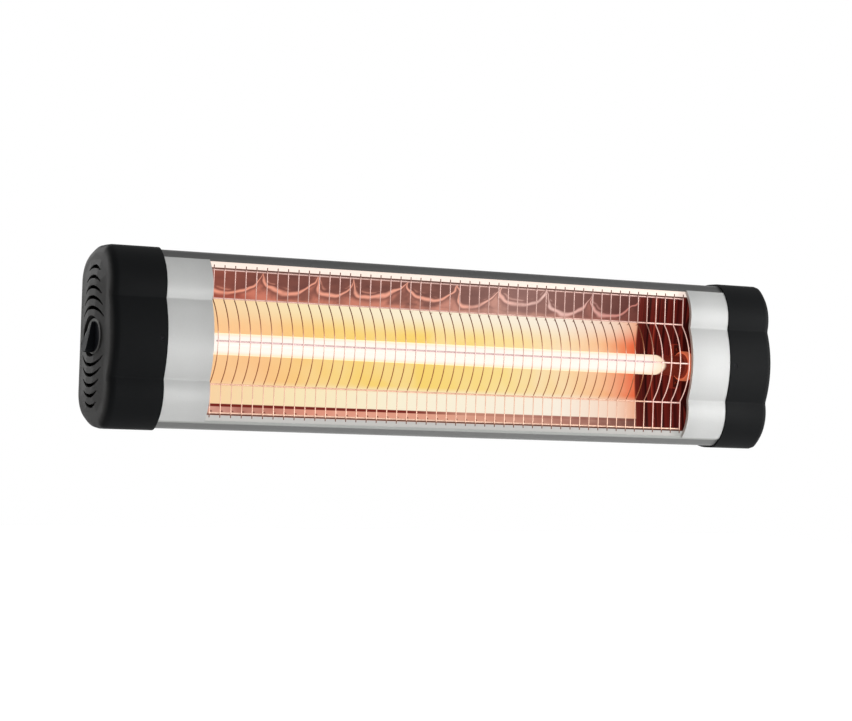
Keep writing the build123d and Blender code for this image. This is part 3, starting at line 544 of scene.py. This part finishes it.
class HEATER_OT_reflector(bpy.types.Operator):
    """Polished trough with the tube's light painted on it: bright glow behind the tube, dark red on its
    slanting wings
    """

    bl_idname = "heater.reflector"
    bl_label = "Reflector"

    def swags(self, tree, where, x, z):
        """Upper wing: painted reflections, dark patches that hang from the top wire, over a salmon haze of
        painted glow.
        """
        drift = noise(tree, where, 14.0, 3.0)
        shift = calc(tree, "MULTIPLY", calc(tree, "SUBTRACT", drift, 0.5), 66.0)
        travel = calc(tree, "DIVIDE", calc(tree, "ADD", x, shift), 61.0)
        cell = add_node(tree, "ShaderNodeTexWhiteNoise", noise_dimensions="1D")
        plug(tree, calc(tree, "FLOOR", travel), cell.inputs["W"])
        sag = calc(tree, "MULTIPLY_ADD", cell.outputs["Value"], 0.32, 0.6)
        turn = calc(tree, "MULTIPLY", calc(tree, "SUBTRACT", calc(tree, "FRACT", travel), 0.5), 2.0)
        bow = calc(tree, "SQRT", calc(tree, "SUBTRACT", 1.0, calc(tree, "MULTIPLY", turn, turn)))
        wave = calc(tree, "SUBTRACT", noise(tree, where, 26.0, 2.0), 0.5)
        rise = span(tree, z, 46.0, 77.0, smooth=False)
        rise = calc(tree, "MULTIPLY_ADD", wave, 0.45, rise)
        curve = calc(tree, "SUBTRACT", 1.0, calc(tree, "MULTIPLY", bow, sag))
        gap = calc(tree, "SUBTRACT", rise, curve)
        patch = noise(tree, where, 30.0, 4.0)
        cloud = noise(tree, where, 85.0, 3.0, stretch=(0.45, 1.0, 1.0))
        line = mask(tree, gap, -0.055, 0.055, 0.05)
        line = calc(tree, "MULTIPLY", line, span(tree, patch, 0.3, 0.5, 0.45, 1.0))
        second = mask(tree, gap, 0.14, 0.18, 0.04)
        second = calc(tree, "MULTIPLY", second, span(tree, cloud, 0.5, 0.62, 0.0, 0.55))
        below = span(tree, gap, 0.0, -0.3)
        below = calc(tree, "MULTIPLY", below, span(tree, patch, 0.4, 0.62, 0.1, 0.9))
        fold = span(tree, rise, 0.2, 0.03)
        fold = calc(tree, "MULTIPLY", fold, span(tree, patch, 0.32, 0.56, 0.35, 1.0))
        dark = across(tree, x, -300, 270, (-300, 118, 60, 52), (-235, 82, 50, 48), (-20, 84, 56, 54),
                      (90, 128, 94, 90), (190, 100, 66, 62), (270, 70, 28, 26))
        haze = across(tree, x, -300, 270, (-300, 208, 120, 98), (-60, 208, 134, 114),
                      (80, 200, 152, 138), (190, 164, 104, 92), (270, 96, 42, 36))
        bright = across(tree, x, -300, 270, (-300, 238, 156, 130), (0, 240, 170, 148),
                        (120, 240, 200, 190), (270, 190, 98, 84))
        face = blend(tree, calc(tree, "MULTIPLY", cloud, 0.35), dark, haze)
        face = blend(tree, calc(tree, "MAXIMUM", below, fold), face, haze)
        face = blend(tree, calc(tree, "MAXIMUM", line, second), face, bright)
        # Painted reflection: a dull copper-coloured bar along the fold at the switch end
        fold_reflection = calc(tree, "MULTIPLY", span(tree, x, -225.0, -262.0), span(tree, rise, 0.3, 0.1))
        return blend(tree, calc(tree, "MULTIPLY", fold_reflection, 0.7), face, srgb(150, 66, 54))

    def dots(self, tree, x, z, height):
        """Row of small dark dots, one to each upright's pitch."""
        phase = calc(tree, "FRACT", calc(tree, "DIVIDE", x, PITCH / MM))
        spot = mask(tree, phase, 0.4, 0.58, 0.06)
        return calc(tree, "MULTIPLY", spot, mask(tree, z, height - 0.7, height + 0.7, 0.9))

    def execute(self, context):
        glow = context.scene.heater_glow
        material, tree, shader = finish("polished trough with painted glow", Metallic=1.0)
        where, x, y, z = object_space(tree)
        x, y, z = (calc(tree, "MULTIPLY", part, 1000.0) for part in (x, y, z))
        # The painted glow and the dark end beyond it are cut off on one slanting plane
        reach = calc(tree, "MULTIPLY_ADD", calc(tree, "ADD", y, 92.0), -0.56, x)
        middle = across(tree, reach, -300, 270, (-300, 247, 198, 144), (-215, 247, 196, 138),
                        (-120, 246, 210, 118), (-20, 245, 212, 114), (90, 246, 220, 142),
                        (170, 246, 216, 166), (218, 246, 186, 132), (262, 232, 96, 52))
        edge = across(tree, reach, -300, 270, (-300, 246, 206, 158), (-170, 247, 230, 186),
                      (-40, 248, 240, 214), (160, 247, 238, 222), (236, 244, 214, 192),
                      (266, 240, 176, 142))
        upper = span(tree, z, 16.0, 42.0)
        lower = span(tree, z, -38.0, -48.0)
        lit = blend(tree, calc(tree, "MAXIMUM", upper, lower), middle, edge)
        mottle = noise(tree, where, 18.0, 3.0)
        lit = blend(tree, span(tree, mottle, 0.35, 0.7, 0.0, 0.25), lit, edge)
        wing = self.swags(tree, where, x, z)
        fold, strip_top, flange = 45.9, -65.1, 77.5
        face = blend(tree, span(tree, z, fold - 0.5, fold + 0.5), lit, wing)
        right_half = span(tree, x, -60.0, -20.0)
        spots = calc(tree, "MULTIPLY", self.dots(tree, x, z, 43.4), right_half)

        # Lower wing: a dark line, then a salmon strip under the lit part
        patch = noise(tree, where, 40.0, 3.0)
        strip = across(tree, x, -300, 270, (-300, 204, 146, 130), (-268, 196, 136, 122),
                       (-255, 164, 96, 84), (-170, 222, 150, 128), (0, 222, 160, 136),
                       (150, 172, 120, 106), (270, 88, 54, 48))
        strip = blend(tree, span(tree, patch, 0.4, 0.7, 0.0, 0.25), strip, srgb(236, 190, 168))
        line = mask(tree, z, -68.2, -65.2, 0.5)
        line = calc(tree, "MULTIPLY", line, span(tree, x, 40.0, -60.0, 0.25, 1.0))
        strip = blend(tree, line, strip, srgb(112, 30, 24))
        strip = blend(tree, self.dots(tree, x, z, -73.2), strip, srgb(96, 50, 40))
        face = blend(tree, span(tree, z, strip_top + 0.5, strip_top - 0.5), face, strip)
        face = blend(tree, calc(tree, "MULTIPLY", spots, 0.7), face, srgb(120, 60, 40))

        # Beyond the glow: dark red, with painted reflections of the uprights as streaks
        row = add_node(tree, "ShaderNodeCombineXYZ")
        plug(tree, calc(tree, "MULTIPLY", reach, 0.001), row.inputs[0])
        stripe = noise(tree, row.outputs[0], 120.0, 1.0)
        ends = ramp(tree, stripe, [
            (0.38, srgb(26, 8, 8)), (0.43, srgb(70, 20, 18)), (0.52, srgb(104, 30, 24)),
            (0.57, srgb(58, 16, 14)), (0.66, srgb(150, 52, 38)),
        ])
        outside = span(tree, reach, 264.0, 267.0)
        face = blend(tree, outside, face, ends)

        # Painted glare on the flanges beside the lips, each along a thin line of painted shadow at the gap
        shadow_gap = mask(tree, calc(tree, "ABSOLUTE", z), 76.0, 77.3, 0.2)
        face = blend(tree, shadow_gap, face, srgb(84, 52, 42))
        face = blend(tree, span(tree, z, flange - 0.2, flange + 0.2), face, srgb(253, 234, 222))
        face = blend(tree, span(tree, z, 0.2 - flange, -0.2 - flange), face, srgb(182, 183, 180))
        plug(tree, face, shader.inputs["Emission Color"])
        shader.inputs["Emission Strength"].default_value = glow.trough
        plug(tree, blend(tree, 0.9, face, srgb(40, 26, 22)), shader.inputs["Base Color"])
        streak = noise(tree, where, 900.0, 2.0, stretch=(0.02, 1.0, 1.0))
        plug(tree, span(tree, streak, 0.3, 0.7, 0.3, 0.42), shader.inputs["Roughness"])
        bump(tree, streak, 0.05, 0.0001, shader)
        dress(material, "reflector")
        return {"FINISHED"}


class HEATER_OT_guard(bpy.types.Operator):
    """Guard of round bent wire, with the glow behind it painted on as colour and light"""

    bl_idname = "heater.guard"
    bl_label = "Wire guard"

    def upright_line(self, x):
        """Straight ends, and one forward arc between the rails at 45 mm."""
        plane, crown, bend, tip = FRONT + 18 * MM, FRONT + 1.6 * MM, 43 * MM, 80 * MM
        bow = plane - crown
        radius = (bow**2 + bend**2) / (2 * bow)
        steps = 9
        line = [(x, plane, -tip)]
        for step in range(-steps, steps + 1):
            height = bend * step / steps
            line.append((x, crown + radius - math.sqrt(radius**2 - height**2), height))
        return [*line, (x, plane, tip)]

    def rail_line(self, height, plane):
        """Straight rail; the outermost two turn back into the flange at both ends."""
        end, bend = 298.6 * MM, 2.5 * MM
        y = FRONT + plane
        if height not in (75 * MM, -75 * MM):
            return [(-end, y, height), (end, y, height)]
        back = FRONT + 27.5 * MM
        turns = [math.radians(90 * step / 5) for step in range(6)]
        corner = [
            (end - bend + bend * math.sin(t), y + bend - bend * math.cos(t), height) for t in turns
        ]
        right = [*corner, (end, back, height)]
        return [(-x, y, z) for x, y, z in reversed(right)] + right

    def execute(self, context):
        guard = context.scene.heater_guard
        count = 49
        first = self.upright_line(-PITCH * (count - 1) / 2)
        uprights = round_wire("guard_uprights", first, guard.upright)
        shape(uprights, "ARRAY", count=count, use_relative_offset=False, use_constant_offset=True,
              constant_offset_displace=(PITCH, 0, 0))
        rails = join("guard_rails", [
            round_wire("rail", self.rail_line(height * MM, plane * MM), guard.rail, 12)
            for height, plane in ((75, 19.75), (45, 19.75), (0, 3.35), (-45, 19.75), (-75, 19.75))
        ])

        material, tree, shader = finish("bright wire with painted backlight", Metallic=1.0)
        where, x, _, z = object_space(tree)
        height = calc(tree, "MULTIPLY", z, 1000.0)
        # Painted light: the wire's colour and glow change with its height, pale or dark against the glowing
        # trough behind it
        painted_backlight = across(tree, height, -80, 80, (-80, 104, 70, 58), (-77, 110, 74, 60), (-75, 234, 194, 172),
                      (-44.0, 236, 190, 164), (-43.0, 150, 92, 64), (-22, 150, 88, 56),
                      (-13, 196, 144, 116), (-10, 216, 180, 166), (-1.4, 216, 180, 166),
                      (-1.0, 222, 190, 190), (1.0, 222, 190, 190), (1.4, 216, 180, 166),
                      (8, 214, 176, 162), (13, 190, 130, 100), (25, 140, 78, 50),
                      (43.2, 84, 44, 30), (44.2, 218, 176, 164), (74, 224, 188, 180),
                      (77, 92, 58, 48), (80, 80, 50, 42))
        # Painted light: the wire is pale at the right end, over the dark part of the trough
        end = span(tree, x, 244 * MM, 258 * MM)
        middle = mask(tree, height, -72.0, 72.0, 1.0)
        painted_backlight = blend(tree, calc(tree, "MULTIPLY", end, middle), painted_backlight, srgb(250, 208, 196))
        drift = noise(tree, where, 120.0, 2.0)
        painted_backlight = blend(tree, span(tree, drift, 0.3, 0.7, 0.0, 0.18), painted_backlight, srgb(120, 70, 56))
        plug(tree, painted_backlight, shader.inputs["Emission Color"])
        shader.inputs["Emission Strength"].default_value = 0.5
        plug(tree, blend(tree, 0.5, painted_backlight, srgb(0, 0, 0)), shader.inputs["Base Color"])
        use_grain(tree, shader, where, 1500, 0.22, 0.36, 0.05)
        fit(uprights, "grille_uprights", material)
        fit(rails, "grille_rails", material)
        return {"FINISHED"}


class HEATER_OT_lamp(bpy.types.Operator):
    """Glowing quartz tube and the strip in it"""

    bl_idname = "heater.lamp"
    bl_label = "Quartz tube"

    def execute(self, context):
        glow = context.scene.heater_glow
        material, tree, shader = finish("glowing quartz", IOR=1.46, Specular_IOR_Level=0.3)
        where, x, _, z = object_space(tree)
        side = calc(tree, "SUBTRACT", z, TUBE_Z)
        # The glow ends in a round, as the lit gas and strip do
        bulge = calc(tree, "MULTIPLY", calc(tree, "MULTIPLY", side, side), 50.0)
        reach = calc(tree, "ADD", x, bulge)
        heat = calc(tree, "MULTIPLY", span(tree, reach, glow.far_end + 2 * MM, glow.far_end - 3 * MM),
                    span(tree, x, glow.switch_end - 2 * MM, glow.switch_end + 3 * MM))
        rim = span(tree, calc(tree, "ABSOLUTE", side), 7 * MM, 11.4 * MM)
        near_end = span(tree, reach, glow.far_end - 30 * MM, glow.far_end)
        hue = blend(tree, calc(tree, "MAXIMUM", rim, near_end), srgb(252, 248, 238), srgb(252, 230, 200))
        # Painted light: beyond the glow the tube keeps a dim red glow, and the glass is given a reddish
        # colour
        cloud = noise(tree, where, 60.0, 2.0)
        cold = blend(tree, cloud, srgb(78, 22, 16), srgb(128, 44, 30))
        cold = blend(tree, 0.45, cold, srgb(0, 0, 0))
        plug(tree, blend(tree, heat, cold, hue), shader.inputs["Emission Color"])
        shader.inputs["Emission Strength"].default_value = glow.tube
        plug(tree, blend(tree, cloud, srgb(92, 36, 28), srgb(120, 56, 44)), shader.inputs["Base Color"])
        plug(tree, span(tree, cloud, 0.3, 0.7, 0.1, 0.18), shader.inputs["Roughness"])
        dress(material, "quartz_tube")

        material, tree, shader = finish("glowing strip", Base_Color=srgb(255, 200, 140))
        where = object_space(tree)[0]
        use_grain(tree, shader, where, 900, 0.6, 0.8, 0.2)
        glint = noise(tree, where, 200.0, 2.0)
        hue = blend(tree, glint, srgb(255, 196, 120), srgb(255, 226, 176))
        plug(tree, hue, shader.inputs["Emission Color"])
        shader.inputs["Emission Strength"].default_value = 3.0
        dress(material, "heating_strip")
        return {"FINISHED"}


class HEATER_OT_holders(bpy.types.Operator):
    """Ceramic ends of the tube, their straps and the plates behind them, all with a painted red glow from
    the tube
    """

    bl_idname = "heater.holders"
    bl_label = "Tube holders"

    def execute(self, context):
        material, tree, shader = finish("ceramic with painted glow")
        where = object_space(tree)[0]
        use_grain(tree, shader, where, 1200, 0.45, 0.7, 0.2)
        glow_mottle = noise(tree, where, 60.0, 4.0)
        # Painted light: reddish colour and a red glow on the ceramic, from the tube
        plug(tree, blend(tree, glow_mottle, srgb(96, 40, 28), srgb(150, 72, 50)), shader.inputs["Base Color"])
        plug(tree, blend(tree, glow_mottle, srgb(88, 22, 14), srgb(132, 44, 28)), shader.inputs["Emission Color"])
        shader.inputs["Emission Strength"].default_value = 0.7
        for name in ("left_ceramic", "right_ceramic"):
            smooth_copy(name, material)

        material, tree, shader = finish("strap with painted glow", Metallic=1.0)
        where, _, y, z = object_space(tree)
        use_grain(tree, shader, where, 1200, 0.3, 0.45, 0.08)
        glow_mottle = noise(tree, where, 45.0, 4.0)
        ring_glow = blend(tree, glow_mottle, srgb(216, 104, 70), srgb(240, 140, 100))
        # Painted light: the ring round the tube is bright orange and glows, the feet stay dark
        far = distance(tree, calc(tree, "SUBTRACT", y, TUBE_Y), calc(tree, "SUBTRACT", z, TUBE_Z))
        feet = blend(tree, glow_mottle, srgb(44, 14, 12), srgb(92, 36, 28))
        ring_glow = blend(tree, span(tree, far, 16.5 * MM, 19 * MM), ring_glow, feet)
        plug(tree, ring_glow, shader.inputs["Base Color"])
        plug(tree, ring_glow, shader.inputs["Emission Color"])
        shader.inputs["Emission Strength"].default_value = 0.6
        for name in ("left_tube_clip", "right_tube_clip"):
            smooth_copy(name, material)

        material, tree, shader = finish("plate with painted glow", Metallic=1.0)
        where, x, _, _ = object_space(tree)
        streak = noise(tree, where, 70.0, 2.0, stretch=(1.0, 1.0, 0.08))
        tube_side_tint = blend(tree, streak, srgb(60, 22, 18), srgb(110, 48, 38))
        glowing = ramp(tree, streak, [
            (0.4, srgb(34, 8, 8)), (0.48, srgb(96, 28, 22)), (0.6, srgb(140, 48, 34)),
        ])
        # Painted light: only the side towards the tube is reddish and glows
        inner = span(tree, calc(tree, "ABSOLUTE", x), 320.5 * MM, 320.2 * MM)
        zinc = blend(tree, streak, srgb(86, 86, 84), srgb(104, 104, 102))
        plug(tree, blend(tree, inner, zinc, tube_side_tint), shader.inputs["Base Color"])
        plug(tree, blend(tree, inner, (0, 0, 0, 1), glowing), shader.inputs["Emission Color"])
        shader.inputs["Emission Strength"].default_value = 0.7
        use_grain(tree, shader, where, 800, 0.35, 0.5, 0.05)
        dress(material, "left_end_plate", "right_end_plate")
        return {"FINISHED"}


class HEATER_OT_screws(bpy.types.Operator):
    """Cross-slot screws of the caps, of the tube straps and of the end plates"""

    bl_idname = "heater.screws"
    bl_label = "Cross-slot screws"

    def execute(self, context):
        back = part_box("end_plate_screws")[1][1] / MM - 2
        for name, slot, low, high, rough, node, sizes, places, turned in (
            ("blackened screw", "screw_dark", (12, 12, 13), (36, 36, 38), 0.5, "cap_screws",
             (2.6, 0.9, 1.4, 4.0), [(side * 361.5, -156.8, 0) for side in (-1, 1)], False),
            # Painted light: the strap screws are reddish, as lit by the tube
            ("screw with painted red light", "plated_steel", (120, 52, 36), (190, 100, 74), 0.34, "clip_screws",
             (2.8, 1.8, 1.5, 4.5), [(side * 316, -104.1, z) for side in (-1, 1) for z in (18, -22)], False),
            ("zinc screw", "plated_steel", (166, 166, 162), (200, 200, 196), 0.3, "end_plate_screws",
             (3.6, 2.0, 2.0, 6.0), [(side * 327.5, back, z) for side in (-1, 1) for z in (20, -20)], True),
        ):
            material = mottled(name, low, high, rough - 0.06, rough + 0.08, 400.0, 1.0)
            screw = cross_screw(*(size * MM for size in sizes))
            places = [[part * MM for part in place] for place in places]
            set_screws(node, material, screw, places, turned)
        return {"FINISHED"}


class HEATER_OT_inside(bpy.types.Operator):
    """Switch, terminals, cut-out, earth point and leads"""

    bl_idname = "heater.inside"
    bl_label = "Switch and wiring"

    def execute(self, context):
        for name, low, high, rough, metal, wanted in (
            ("switch moulding", (52, 52, 54), (66, 66, 68), 0.5, 0.0, ("rotary_switch", "thermal_cutout")),
            ("cream moulding", (212, 208, 196), (226, 222, 212), 0.35, 0.0, ("terminal_block",)),
            ("brass", (186, 148, 84), (210, 172, 104), 0.3, 1.0,
             ("terminal_screws", "earth_stud", "earth_nut", "switch_nut")),
            ("zinc plate", (170, 170, 166), (196, 196, 192), 0.34, 1.0,
             ("switch_shaft", "ear_screws", "ear_nuts", "pivot_bolts", "inner_washers", "outer_washers")),
            ("woven sleeve", (196, 186, 164), (222, 214, 196), 0.8, 0.0, ("wiring",)),
        ):
            dress(mottled(name, low, high, rough - 0.05, rough + 0.07, 120.0, metal), *wanted)
        return {"FINISHED"}


class HEATER_OT_bracket(bpy.types.Operator):
    """Black powder coat on the tilt bracket, and its clamping knobs"""

    bl_idname = "heater.bracket"
    bl_label = "Tilt bracket"

    def execute(self, context):
        material, tree, shader = finish("black powder coat")
        where = object_space(tree)[0]
        height = use_grain(tree, shader, where, 1500, 0.45, 0.6, 0.25)
        plug(tree, blend(tree, height, srgb(34, 35, 36), srgb(46, 47, 48)), shader.inputs["Base Color"])
        dress(material, "wall_bracket", "left_heater_ear", "right_heater_ear")

        material, tree, shader = finish("clamp knob plastic")
        where = object_space(tree)[0]
        height = use_grain(tree, shader, where, 1300, 0.36, 0.5, 0.15)
        plug(tree, blend(tree, height, srgb(22, 22, 24), srgb(36, 36, 38)), shader.inputs["Base Color"])
        smooth_copy("clamp_knobs", material)
        return {"FINISHED"}


class HEATER_OT_stage(bpy.types.Operator):
    """Pale floor, soft lamps, white surroundings and the camera"""

    bl_idname = "heater.stage"
    bl_label = "Studio and camera"

    def execute(self, context):
        scene = context.scene
        scene.view_settings.view_transform = "Standard"
        bpy.ops.mesh.primitive_plane_add(size=14, location=(0, 2, -0.6))
        floor = bpy.context.object
        floor.name = "floor"
        material, tree, shader = finish("pale floor", Base_Color=(0.8, 0.8, 0.8, 1), Roughness=0.9)
        path = add_node(tree, "ShaderNodeLightPath")
        seen = calc(tree, "MAXIMUM", path.outputs["Is Camera Ray"], path.outputs["Is Glossy Ray"])
        seen = calc(tree, "MAXIMUM", seen, path.outputs["Is Transmission Ray"])
        shader.inputs["Emission Color"].default_value = (1, 1, 1, 1)
        plug(tree, calc(tree, "MULTIPLY", seen, 0.9), shader.inputs["Emission Strength"])
        floor.data.materials.append(material)

        world = scene.world or bpy.data.worlds.new("studio")
        scene.world = world
        world.use_nodes = True
        tree = world.node_tree
        path = add_node(tree, "ShaderNodeLightPath")
        ground = tree.nodes["Background"]
        where = add_node(tree, "ShaderNodeTexCoord").outputs["Generated"]
        parts = add_node(tree, "ShaderNodeSeparateXYZ")
        plug(tree, where, parts.inputs[0])
        level = span(tree, parts.outputs[1], -0.6, 0.6, 0.2, 0.9)
        level = calc(tree, "MULTIPLY", level, span(tree, parts.outputs[2], 0.0, 0.8, 1.0, 0.3))
        for flag in ("Is Camera Ray", "Is Glossy Ray", "Is Transmission Ray"):
            level = calc(tree, "MAXIMUM", level, path.outputs[flag])
        plug(tree, level, ground.inputs["Strength"])
        ground.inputs["Color"].default_value = (1, 1, 1, 1)

        for name, place, aim, size, power in (
            ("right key", (2.9, -1.9, 0.15), (0, -0.1, 0), 2.0, 98),
            ("low fill", (0.5, -2.4, -0.7), (0, -0.1, 0), 1.2, 22),
            ("back fill", (-1.5, 2.6, 1.2), (0, -0.1, 0), 2.0, 60),
        ):
            data = bpy.data.lights.new(name, "AREA")
            data.size = size
            data.energy = power
            lamp = bpy.data.objects.new(name, data)
            lamp.location = place
            lamp.rotation_euler = (Vector(aim) - Vector(place)).to_track_quat("-Z", "Y").to_euler()
            scene.collection.objects.link(lamp)

        turn, lift, roll = (math.radians(angle) for angle in (-29.3, -1.41, 1.9))
        back = Vector((math.sin(turn) * math.cos(lift), -math.cos(turn) * math.cos(lift), math.sin(lift)))
        level_right = Vector((math.cos(turn), math.sin(turn), 0))
        level_up = back.cross(level_right)
        right = level_right * math.cos(roll) + level_up * math.sin(roll)
        up = level_up * math.cos(roll) - level_right * math.sin(roll)
        target = Vector((0, FRONT + 7.7 * MM, 0))
        image_width, focal_pixels = 852, 2700
        aside, below, away = 40.2 * MM, 8.4 * MM, 2.96
        data = bpy.data.cameras.new("photo camera")
        data.sensor_width = 36
        data.lens = focal_pixels / image_width * data.sensor_width
        camera = bpy.data.objects.new("photo camera", data)
        place = target - right * aside - up * below + back * away
        camera.matrix_world = Matrix((
            (right.x, up.x, back.x, place.x),
            (right.y, up.y, back.y, place.y),
            (right.z, up.z, back.z, place.z),
            (0, 0, 0, 1),
        ))
        scene.collection.objects.link(camera)
        scene.camera = camera
        return {"FINISHED"}


STEPS = (
    HEATER_OT_stage,
    HEATER_OT_caps,
    HEATER_OT_knob,
    HEATER_OT_bands,
    HEATER_OT_housing,
    HEATER_OT_reflector,
    HEATER_OT_guard,
    HEATER_OT_lamp,
    HEATER_OT_holders,
    HEATER_OT_screws,
    HEATER_OT_inside,
    HEATER_OT_bracket,
)


class HEATER_PT_panel(bpy.types.Panel):
    """Lists the steps and the settings of the heater"""

    bl_idname = "HEATER_PT_panel"
    bl_label = "Infrared heater"
    bl_space_type = "VIEW_3D"
    bl_region_type = "UI"
    bl_category = "Heater"

    def draw(self, context):
        layout = self.layout
        scene = context.scene
        for group in (scene.heater_finishes, scene.heater_glow, scene.heater_guard):
            for name in group.__annotations__:
                layout.prop(group, name)
        for step in STEPS:
            layout.operator(step.bl_idname)


CLASSES = (HeaterFinishes, HeaterGlow, HeaterGuard, *STEPS, HEATER_PT_panel)


def register():
    for item in CLASSES:
        bpy.utils.register_class(item)
    bpy.types.Scene.heater_finishes = bpy.props.PointerProperty(type=HeaterFinishes)
    bpy.types.Scene.heater_glow = bpy.props.PointerProperty(type=HeaterGlow)
    bpy.types.Scene.heater_guard = bpy.props.PointerProperty(type=HeaterGuard)


def unregister():
    del bpy.types.Scene.heater_guard
    del bpy.types.Scene.heater_glow
    del bpy.types.Scene.heater_finishes
    for item in reversed(CLASSES):
        bpy.utils.unregister_class(item)


def main():
    register()
    for step in STEPS:
        family, name = step.bl_idname.split(".")
        getattr(getattr(bpy.ops, family), name)()


if __name__ == "__main__":
    main()
